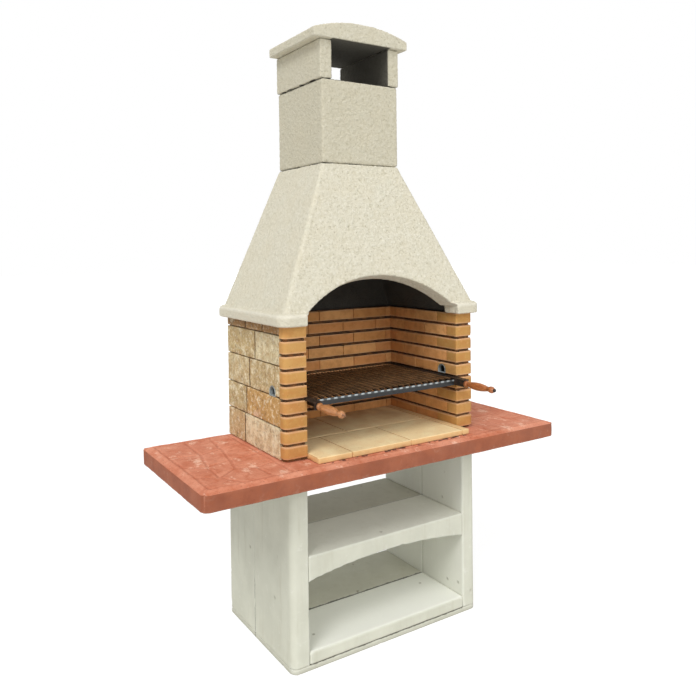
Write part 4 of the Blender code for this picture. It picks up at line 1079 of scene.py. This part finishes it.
def stone_wall(wall):
    """The facing of one side wall: stones in rows on a core that shows in their joints."""
    low, high = CLADDING
    height, depth = high.z - low.z, high.y - low.y
    gather = Gather(wall)

    def put(start, end, edge, cell):
        points, faces, direction, rim = block(start, end, edge, cell)
        if wall == "left":
            points, faces, direction = points * (-1, 1, 1), faces[:, ::-1], direction * (-1, 1, 1)
        return points, faces, direction, rim

    core_end = (WALL_OUTER - CORE_SETBACK, high.y - 0.002, high.z)
    points, faces, direction, _ = put(low, core_end, CORE_EDGE, CORE_CELL)
    points = points + direction * (0.0008 * noise(points, 0.02, 31, 2) - 0.0008)[:, None]
    # The core shows in the joints, dark with painted shade.
    gather.add(points, faces, tint=np.array(linear(120, 92, 60)), arris=0.0, soot=0.6)
    for row, (first, last) in enumerate(zip(STONE_ROWS, STONE_ROWS[1:])):
        for number, (near, far) in enumerate(zip(STONE_SPLITS[row], STONE_SPLITS[row][1:])):
            start = (low.x + 0.003, low.y + near * depth + (UPRIGHT_GAP if near else 0.0),
                     low.z + first * height + STONE_GAP)
            end = (WALL_OUTER, low.y + far * depth - (UPRIGHT_GAP if far < 1 else 0.0),
                   low.z + last * height - STONE_GAP)
            points, faces, direction, edge = put(start, end, STONE_EDGE, STONE_CELL)
            rugged = bumps(points, (0.0011, 0.03, 32, 3), (0.0005, 0.009, 33, 2))
            chipped = chips(points, edge, 0.0030, 0.02, 34, 0.1, 0.7)
            pitted = pits(points, 0.0014, 0.016, 35, 0.12, 0.2, 0.7, 0.6)
            points = points + direction * np.minimum(0, rugged - 0.0013 - chipped - pitted)[:, None]
            tone = np.array(linear(*STONE_TONES[row][number]))
            if (row, number) == BLUSHED:
                blush = ramp(noise(points, 0.05, 36, 2), 0.1, 0.6)[:, None]
                tone = tone + blush * (np.array(linear(226, 190, 160)) - tone)
            # Painted shade along the top of the facing.
            top = 0.35 * ramp(points[:, 2], high.z - 0.10, high.z - 0.005)
            # Painted shade on the ends of the stones in the upright joints.
            joint_shade = ramp(-direction[:, 1], 0.4, 0.8) * (near > 0)
            joint_shade += ramp(direction[:, 1], 0.4, 0.8) * (far < 1)
            gather.add(points, faces, tint=tone, arris=edge * (1 - joint_shade), soot=np.maximum(top, joint_shade))
    name = f"stone_cladding_{wall}"
    show(name + "_laid", gather.mesh(name), STONE, "masonry", name)


stone_wall("left")
stone_wall("right")


# Hearth tiles

TILE_EDGE, TILE_CELL = 0.0028, 0.011


def tile_piece(node):
    """A refractory tile with chipped edges, browned towards the back by smoke stain and painted shade."""
    low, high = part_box(node)
    points, faces, direction, edge = block(low, high, TILE_EDGE, TILE_CELL)
    rough = bumps(points, (0.0005, 0.03, 41, 2), (0.0002, 0.008, 42, 2))
    chipped = chips(points, edge, 0.0030, 0.017, 43, 0.25, 0.8)
    points = points + direction * np.minimum(0, rough - 0.0006 - chipped)[:, None]
    mesh = make_mesh(node, points, faces)
    # Smoke stain with painted shade, growing towards the back.
    cloud = 0.8 + 0.6 * noise(points, 0.07, 44, 2)
    soot = np.clip(ramp(points[:, 1], FIREBOX_FRONT + 0.08, FIREBOX_BACK - 0.02) * 0.6 * cloud, 0, 0.8)
    side = (1 - ramp(direction[:, 2], 0.2, 0.8)) * 0.85
    if node == "hearth_tile_strip":
        side = np.maximum(side, 0.6)
    set_values(mesh, soot=soot, side=side, arris=edge * (points[:, 1] > low.y + 0.006))
    show(node + "_fired", mesh, TILE, "masonry", node)


for node in sorted(NODES):
    if node.startswith("hearth_tile"):
        tile_piece(node)


# Hood, chimney and cap

HOOD_VOXEL, CHIMNEY_VOXEL = 0.0048, 0.0042
RENDER_DEPTH, RENDER_SUNK = 0.0016, 0.0008
LIP_TOP = HOOD[0].z + 0.034
FLUE_WALL = 0.045
FLUE_HALF = CHIMNEY[1].x - FLUE_WALL
CAVITY_FOOT = (HOOD[0].z, WALL_INNER + 0.012, HOOD[0].y + 0.082)
CAVITY_TOP = (HOOD[1].z, FLUE_HALF, CHIMNEY[0].y + FLUE_WALL)
CAVITY_BACK = CHIMNEY[1].y - FLUE_WALL


def hood_soot_and_shade(points):
    """Share of smoke stain and painted shade: all of the cavity's faces, none outside."""
    (z0, x0, y0), (z1, x1, y1) = CAVITY_FOOT, CAVITY_TOP
    share = (points[:, 2] - z0) / (z1 - z0)
    reach = np.maximum.reduce([
        np.abs(points[:, 0]) - (x0 + share * (x1 - x0)),
        (y0 + share * (y1 - y0)) - points[:, 1],
        points[:, 1] - CAVITY_BACK,
    ])
    return 1 - ramp(reach, 0.0, 0.010)


def stucco(points):
    """Height of the sprayed render, in metres, and the same as a share from -1 to 1."""
    away, own = scattered(points, 0.0098, 51)
    blobs = (0.62 - away) * (0.6 + 0.8 * own)
    share = np.clip(1.1 * blobs + 0.75 * noise(points, 0.0062, 52, 2), -1, 1)
    return share * RENDER_DEPTH, share


def hood_piece():
    """The hood: a smooth lip and a cavity darkened by smoke stain and painted shade, under sprayed render,
    which is finer on the left.
    """
    mesh, points, normals, arris = skin("hood", HOOD_VOXEL)
    up = points[:, 2]
    soot = hood_soot_and_shade(points)
    lip = 1 - ramp(up, LIP_TOP - 0.004, LIP_TOP + 0.008)
    # rim marks the lip's shoulder, which gets a painted highlight through the arris share.
    rim = ramp(up, LIP_TOP - 0.012, LIP_TOP) * (1 - ramp(up, LIP_TOP + 0.002, LIP_TOP + 0.012))
    smooth = np.clip(0.75 * lip + 0.85 * soot + 0.5 * ramp(arris, 0.15, 0.5), 0, 0.92)
    left = ramp(-normals[:, 0], 0.2, 0.8) * 0.6
    height, share = stucco(points)
    height = height * (1 - smooth) * (1 - left)
    inward = np.minimum(0, -RENDER_SUNK + height) + 0.0008 * noise(points, 0.14, 53, 2) * (1 - lip)
    flat_back = ramp(points[:, 1], HOOD[1].y - 0.004, HOOD[1].y)
    inward = np.where(flat_back > 0.5, np.minimum(inward, -0.0001), inward)
    write_points(mesh, points + normals * inward[:, None])
    # relief carries the painted shade and light of the stucco, arris the painted highlight on the edges and
    # the lip's shoulder, grain the strength of the painted grain flecks.
    set_values(
        mesh, relief=share * (1 - smooth), arris=np.clip(arris + 0.5 * rim, 0, 1) * (1 - soot),
        soot=soot * 0.96, shade=0.06, grain=(1 - left) * (1 - 0.6 * lip),
    )
    show("hood_rendered", mesh, RENDER, "masonry", "hood")


def chimney_piece(node, shade):
    """A rendered piece of the chimney, darkened by smoke stain and painted shade where the smoke passes,
    where it faces up, on the cheeks' inner faces and under the cap.
    """
    mesh, points, normals, arris = skin(node, CHIMNEY_VOXEL)
    height, share = stucco(points)
    smooth = 0.6 * ramp(arris, 0.15, 0.5)
    across, along, up = points.T
    reach = FLUE_WALL - 0.004
    inner = (np.abs(across) < FLUE_HALF + 0.004) & (along > CHIMNEY[0].y + reach)
    inner &= (along < CHIMNEY[1].y - reach) & (up < CHIMNEY[1].z + 0.155)
    # The dark share is smoke stain with painted shade: in the flue, on faces turned up inside the cowl, on
    # the cheeks' inner faces and under the cap.
    soot = inner * 0.93
    if node == "chimney_block":
        soot = np.maximum(soot, 0.85 * ramp(normals[:, 2], 0.5, 0.9))
    if node.startswith("cowl_cheek"):
        soot = 0.85 * ramp(-np.sign(across) * normals[:, 0], 0.3, 0.8)
    if node == "chimney_cap":
        soot = 0.85 * ramp(-normals[:, 2], 0.6, 0.95) * (np.abs(across) < 0.13)
        pitted = pits(points, 0.0018, 0.012, 54, 0.14, 0.2, 0.7, 0.45)
        height = height - pitted * ramp(-normals[:, 1], 0.4, 0.9)
    inward = np.minimum(0, height * (1 - smooth) - RENDER_SUNK)
    inward -= chips(points, ramp(arris, 0.12, 0.5), 0.0016, 0.02, 55, 0.2, 0.8)
    write_points(mesh, points + normals * inward[:, None])
    # relief carries the painted shade and light of the stucco, arris the painted highlight on the edges,
    # grain the strength of the painted grain flecks, weaker on faces turned to the left.
    set_values(mesh, relief=share * (1 - soot), arris=arris * (1 - soot), soot=soot, shade=shade,
               grain=1 - 0.5 * ramp(-normals[:, 0], 0.2, 0.8))
    show(node + "_rendered", mesh, RENDER, "masonry", node)


hood_piece()
for node, shade in (("chimney_block", 0.42), ("cowl_cheek_left", 0.36), ("cowl_cheek_right", 0.40),
                    ("chimney_cap", 0.24)):
    chimney_piece(node, shade)


# Grill

CHANNELS = 22
SHEET = 0.0017
CHANNEL_HALF, CHANNEL_DEPTH = 0.0098, 0.0108
BAR_FRONT, BAR_BACK = 0.050, 0.042


def channel_section(middle, top):
    """Outline in x and z of one V of sheet with rolled rims."""
    half, foot = CHANNEL_HALF, top - CHANNEL_DEPTH
    bend = (top + foot) / 2
    under = [(half, top - 0.0003), (half * 0.55, bend + 0.0002), (0.0014, foot + 0.0007)]
    over = [(half - 0.0006, top), (half - 0.0020, top - 0.0002), (half * 0.36, bend + 0.0008),
            (0.0008, foot + SHEET + 0.0007)]
    left = [(-x, z) for x, z in under] + [(0.0, foot)]
    right = [(0.0, foot + SHEET + 0.0004)] + [(-x, z) for x, z in reversed(over)]
    return [(x + middle, z) for x, z in left + under[::-1] + over + right]


def channels_piece():
    """V-channels of bent sheet with rolled rims, on two flat cross bars."""
    low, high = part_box("grill_channels")
    gather = Gather()
    for number in range(CHANNELS):
        middle = (number - (CHANNELS - 1) / 2) * CHANNEL_PITCH
        wobble = (shake(number, 3) - 0.5) * 0.0012
        section = channel_section(middle, high.z)
        points = []
        for step in range(9):
            share = step / 8
            across = wobble * math.sin(math.pi * share) + 0.0003 * (shake(number, step, 4) - 0.5)
            along, up = low.y + share * (high.y - low.y), -0.0002 * shake(number, step, 5)
            points += [(x + across, along, z + up) for x, z in section]
        faces = [(a, d, c, b) for a, b, c, d in tube(9, len(section))]
        gather.add(np.array(points), faces + [end[::-1] for end in caps(9, len(section))])
    for start in (FIREBOX_FRONT + BAR_FRONT, high.y - BAR_BACK):
        bar = ((low.x, start, low.z), (high.x, start + 0.020, low.z + 0.0050))
        points, faces, _, _ = block(*bar, 0.0008, 0.02)
        gather.add(points, faces)
    mesh = gather.mesh("grill_channels", False)
    show("grill_channels_bent", mesh, RUST, "grill", "grill_channels")


def finish_solid(node, material):
    """Keeps a solid as it is and gives it a finish."""
    NODES[node].data.materials.clear()
    NODES[node].data.materials.append(material)


channels_piece()
for node, material in (
    ("grill_rail_left", BLACK), ("grill_rail_right", BLACK), ("grill_gutter", GUTTER),
    ("spit_sleeve_left", SLEEVE), ("spit_sleeve_right", SLEEVE),
    ("handle_nut_left", WORN_NUT), ("handle_nut_right", BLACK),
):
    finish_solid(node, material)


# Shares of the length, from the rail to the tip, and of the greatest radius
HANDLE_PROFILE = (
    (0.0, 0.76), (0.015, 0.88), (0.06, 0.88), (0.085, 0.74), (0.11, 0.60), (0.14, 0.60),
    (0.21, 0.78), (0.30, 0.92), (0.41, 1.0), (0.51, 0.99), (0.61, 0.91), (0.70, 0.77),
    (0.77, 0.62), (0.81, 0.56), (0.835, 0.60), (0.86, 0.74), (0.89, 0.83), (0.925, 0.84),
    (0.96, 0.75), (0.985, 0.60), (1.0, 0.44),
)
HANDLE_BORE = 0.0043
HANDLE_TURNS = 40


def handle_piece(wall):
    """A turned grip: its profile, and the bore of its stud, spun round an axis that runs to the front."""
    node = f"grill_handle_{wall}"
    low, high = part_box(node)
    x, z = (low.x + high.x) / 2, (low.z + high.z) / 2
    length, radius = high.y - low.y, (high.x - low.x) / 2
    spots = np.array(HANDLE_PROFILE)
    along = np.linspace(0, 1, 61)
    wide = np.interp(along, spots[:, 0], spots[:, 1])
    for _ in range(2):
        wide[1:-1] = (wide[:-2] + 2 * wide[1:-1] + wide[2:]) / 4
    profile = [(length * a, radius * w * 0.995) for a, w in zip(along, wide)]
    profile += [(length, HANDLE_BORE), (0.0, HANDLE_BORE)]
    turns = [2 * math.pi * step / HANDLE_TURNS for step in range(HANDLE_TURNS)]
    points = np.array([(x + r * math.cos(turn), high.y - away, z + r * math.sin(turn))
                       for turn in turns for away, r in profile])
    faces = [face[::-1] for face in tube(HANDLE_TURNS, len(profile), True)]
    mesh = make_mesh(node, points, faces)
    away = (high.y - points[:, 1]) / length
    char = 0.75 * (1 - ramp(away, 0.0, 0.10)) + 0.35 * np.exp(-((away - 0.125) / 0.018) ** 2)
    char += 0.45 * np.exp(-((away - 0.81) / 0.012) ** 2)
    set_values(mesh, char=np.clip(char, 0, 0.85))
    mesh.set_sharp_from_angle(angle=math.radians(50))
    show(node + "_turned", mesh, WOOD[wall], "grill", node)


handle_piece("left")
handle_piece("right")


# Floor, light and camera

FLOOR_HALF, FLOOR_LEVEL = 40, -0.0015


def by_ray(tree, output, plain, seen, *rays):
    """Sends the second shader to the given kinds of ray and the first one to the rest."""
    path = add_node(tree, "ShaderNodeLightPath")
    share = path[rays[0]]
    for ray in rays[1:]:
        share = add_node(tree, "ShaderNodeMath", {0: share, 1: path[ray]}, operation="MAXIMUM")[0]
    choose = add_node(tree, "ShaderNodeMixShader", {0: share, 1: plain[0], 2: seen[0]})
    add_node(tree, output, {0: choose[0]})


def white_backdrop():
    """The floor keeps the shadow; to the camera, and in reflections, it and the world are white."""
    material = bpy.data.materials.new("floor")
    material.use_nodes = True
    tree = material.node_tree
    tree.nodes.clear()
    plain = add_node(tree, "ShaderNodeBsdfDiffuse", {"Color": (0.82, 0.82, 0.80, 1)})
    pale = add_node(tree, "ShaderNodeBsdfDiffuse", {"Color": (0.42, 0.42, 0.42, 1)})
    glow = add_node(tree, "ShaderNodeEmission", {"Strength": 0.74})
    both = add_node(tree, "ShaderNodeAddShader", {0: pale[0], 1: glow[0]})
    by_ray(tree, "ShaderNodeOutputMaterial", plain, both, "Is Camera Ray", "Is Glossy Ray")
    corners = [(x * FLOOR_HALF, y * FLOOR_HALF, FLOOR_LEVEL)
               for x, y in ((-1, -1), (1, -1), (1, 1), (-1, 1))]
    mesh = make_mesh("floor", corners, [(0, 1, 2, 3)], False)
    mesh.materials.append(material)
    placed("floor", mesh)


def world_light(level):
    """Even light from all sides, and plain white wherever the world itself is seen."""
    world = bpy.data.worlds.new("studio")
    bpy.context.scene.world = world
    world.use_nodes = True
    tree = world.node_tree
    tree.nodes.clear()
    soft, white = (add_node(tree, "ShaderNodeBackground", {"Color": (1, 1, 1, 1), "Strength": strength})
                   for strength in (level, 1.0))
    by_ray(tree, "ShaderNodeOutputWorld", soft, white,
           "Is Camera Ray", "Is Glossy Ray", "Is Transmission Ray")


def sun(name, azimuth, elevation, level, spread):
    """A soft lamp from the given direction; azimuth 0 is straight in front."""
    lamp = bpy.data.lights.new(name, "SUN")
    lamp.energy = math.pi * level
    lamp.angle = math.radians(spread)
    a, e = math.radians(azimuth), math.radians(elevation)
    toward = Vector((math.sin(a) * math.cos(e), -math.cos(a) * math.cos(e), math.sin(e)))
    placed(name, lamp).rotation_euler = toward.to_track_quat("Z", "Y").to_euler()


def camera():
    """The camera that was solved from straight edges of the object."""
    yaw, pitch, roll = (math.radians(value) for value in (32.459687, -1.152579, -0.701090))
    forward = Vector((math.sin(yaw) * math.cos(pitch), math.cos(yaw) * math.cos(pitch), math.sin(pitch)))
    level = Vector((math.cos(yaw), -math.sin(yaw), 0.0))
    up = level.cross(forward)
    right = level * math.cos(roll) + up * math.sin(roll)
    top = up * math.cos(roll) - level * math.sin(roll)
    data = bpy.data.cameras.new("photo_view")
    data.lens, data.sensor_width = 36.2496, 36.0
    data.shift_x, data.shift_y = 0.0077378, -0.1250099
    obj = placed("photo_view", data)
    obj.matrix_world = Matrix.Translation((-1.480846, -2.175926, 1.419158)) @ Matrix(
        (right, top, -forward)).transposed().to_4x4()
    bpy.context.scene.camera = obj


white_backdrop()
world_light(0.49)
sun("key", -58, 48, 0.455, 25)
sun("fill", -8, 30, 0.315, 40)
camera()
bpy.context.scene.view_settings.view_transform = "Standard"
